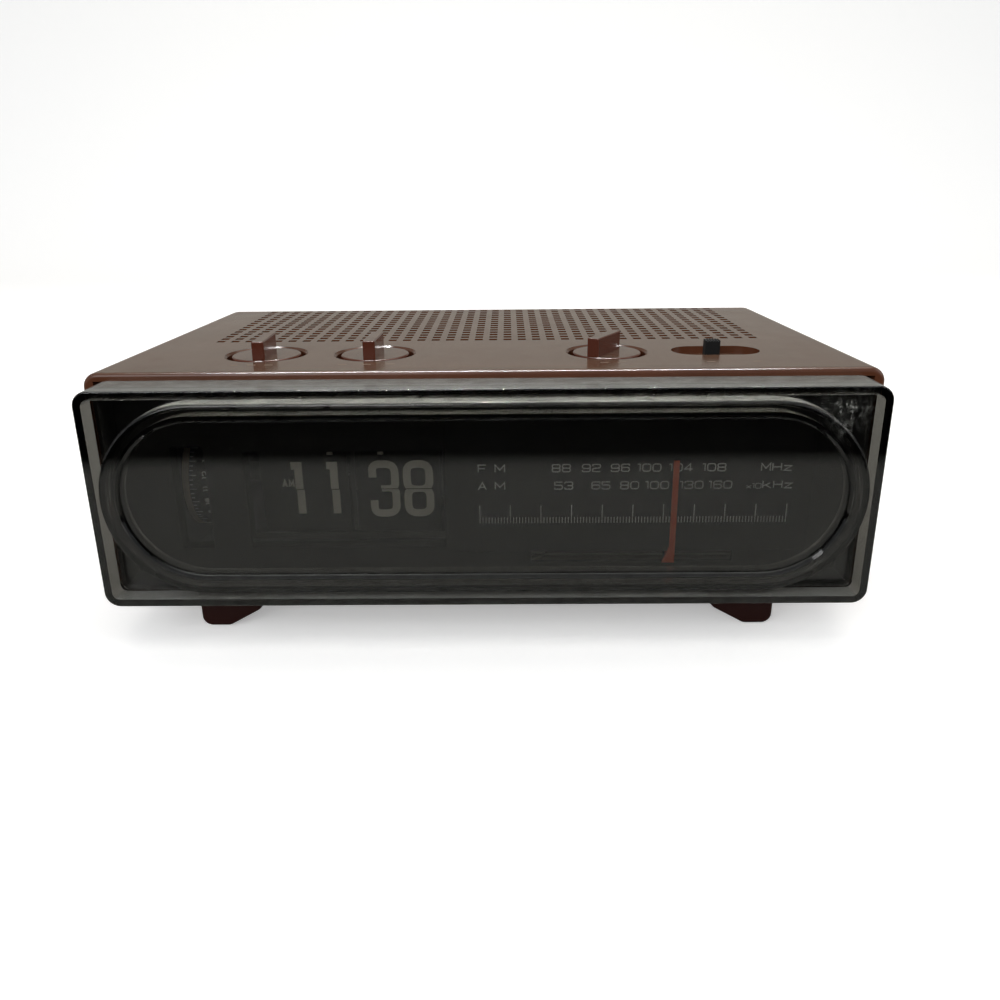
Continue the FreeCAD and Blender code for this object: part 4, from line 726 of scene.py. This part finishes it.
def lamp(name, place, aim, size, power, colour=(1, 1, 1)):
    """Rectangular area light aimed at a point."""
    data = bpy.data.lights.new(name, "AREA")
    data.shape = "RECTANGLE"
    data.size, data.size_y = size
    data.energy = power
    data.color = colour
    light = bpy.data.objects.new(name, data)
    light.location = place
    light.rotation_euler = (Vector(aim) - Vector(place)).to_track_quat("-Z", "Y").to_euler()
    bpy.context.scene.collection.objects.link(light)
    return light


MIDDLE = (0.0, 0.0, 0.06)            # middle of the radio, which the lamps face
SKY_COLOUR, SKY_STRENGTH = (0.95, 0.97, 1.0, 1.0), 0.50
STRIP_LAMPS = 24
STRIP_PITCH = 0.0285
STRIP_PLACE = (-0.005, -0.10, 0.78)
STRIP_AIM = (-0.08, 0.0)             # y and z that each lamp of the strip faces
STRIP_SIZE = (0.008, 0.012)
STRIP_POWER = 0.9


def lights():
    """Soft overhead light, fill from the front and side, and a strip of small lamps for the glints."""
    world = bpy.data.worlds.new("studio")
    bpy.context.scene.world = world
    world.use_nodes = True
    sky = world.node_tree.nodes["Background"].inputs
    sky["Color"].default_value = SKY_COLOUR
    sky["Strength"].default_value = SKY_STRENGTH
    lamp("overhead", (0.1, 0.45, 1.6), MIDDLE, (1.8, 1.4), 11.0, (1.0, 0.94, 0.85))
    lamp("front_fill", (-0.7, -1.5, 1.0), MIDDLE, (1.2, 0.9), 13.0)
    lamp("side_fill", (1.4, -0.3, 0.8), MIDDLE, (0.9, 0.9), 4.0, (1.0, 0.98, 0.95))
    first = STRIP_PLACE[0] - STRIP_PITCH * (STRIP_LAMPS - 1) / 2
    for index in range(STRIP_LAMPS):
        x = first + index * STRIP_PITCH
        glint = lamp(f"strip_{index}", (x, *STRIP_PLACE[1:]), (x, *STRIP_AIM), STRIP_SIZE, STRIP_POWER)
        glint.visible_diffuse = False


CAMERA_PLACE = Vector((9.115, -359.148, 165.638)) * MM
CAMERA_PITCH, CAMERA_YAW, CAMERA_ROLL = (math.radians(a) for a in (18.2376, -0.5920, 0.5709))
CAMERA_LENS, CAMERA_SENSOR, CAMERA_SHIFT = 29.844, 36.0, -0.04264
CAMERA_NEAR, CAMERA_FAR = 0.01, 20.0


def camera():
    """Camera a little above the top and close in front."""
    level = math.cos(CAMERA_PITCH)
    ahead = Vector((math.sin(CAMERA_YAW) * level, math.cos(CAMERA_YAW) * level, -math.sin(CAMERA_PITCH)))
    right = Vector((math.cos(CAMERA_YAW), -math.sin(CAMERA_YAW), 0.0))
    down = ahead.cross(right)
    x_axis = right * math.cos(CAMERA_ROLL) + down * math.sin(CAMERA_ROLL)
    y_axis = right * math.sin(CAMERA_ROLL) - down * math.cos(CAMERA_ROLL)
    data = bpy.data.cameras.new("camera")
    data.lens, data.sensor_width, data.shift_y = CAMERA_LENS, CAMERA_SENSOR, CAMERA_SHIFT
    data.clip_start, data.clip_end = CAMERA_NEAR, CAMERA_FAR
    view = bpy.data.objects.new("camera", data)
    turn = Matrix((x_axis, y_axis, -ahead)).transposed()
    view.matrix_world = Matrix.Translation(CAMERA_PLACE) @ turn.to_4x4()
    bpy.context.scene.collection.objects.link(view)
    bpy.context.scene.camera = view


# ---------------------------------------------------------------- build
camera()
lights()
sweep()
bpy.context.scene.view_settings.view_transform = "Standard"
apply_finishes()
figure_cream = printed("figure_cream", (0.62, 0.61, 0.53))
scale_pale = printed("scale_pale", (0.78, 0.80, 0.76), 0.15)
flip_numbers(figure_cream)
scale_print(scale_pale)
alarm_print(scale_pale, printed("drum_tan", (0.50, 0.42, 0.30), 0.2))
top_marks(printed("mark_pale", (0.26, 0.20, 0.15), 0.5))
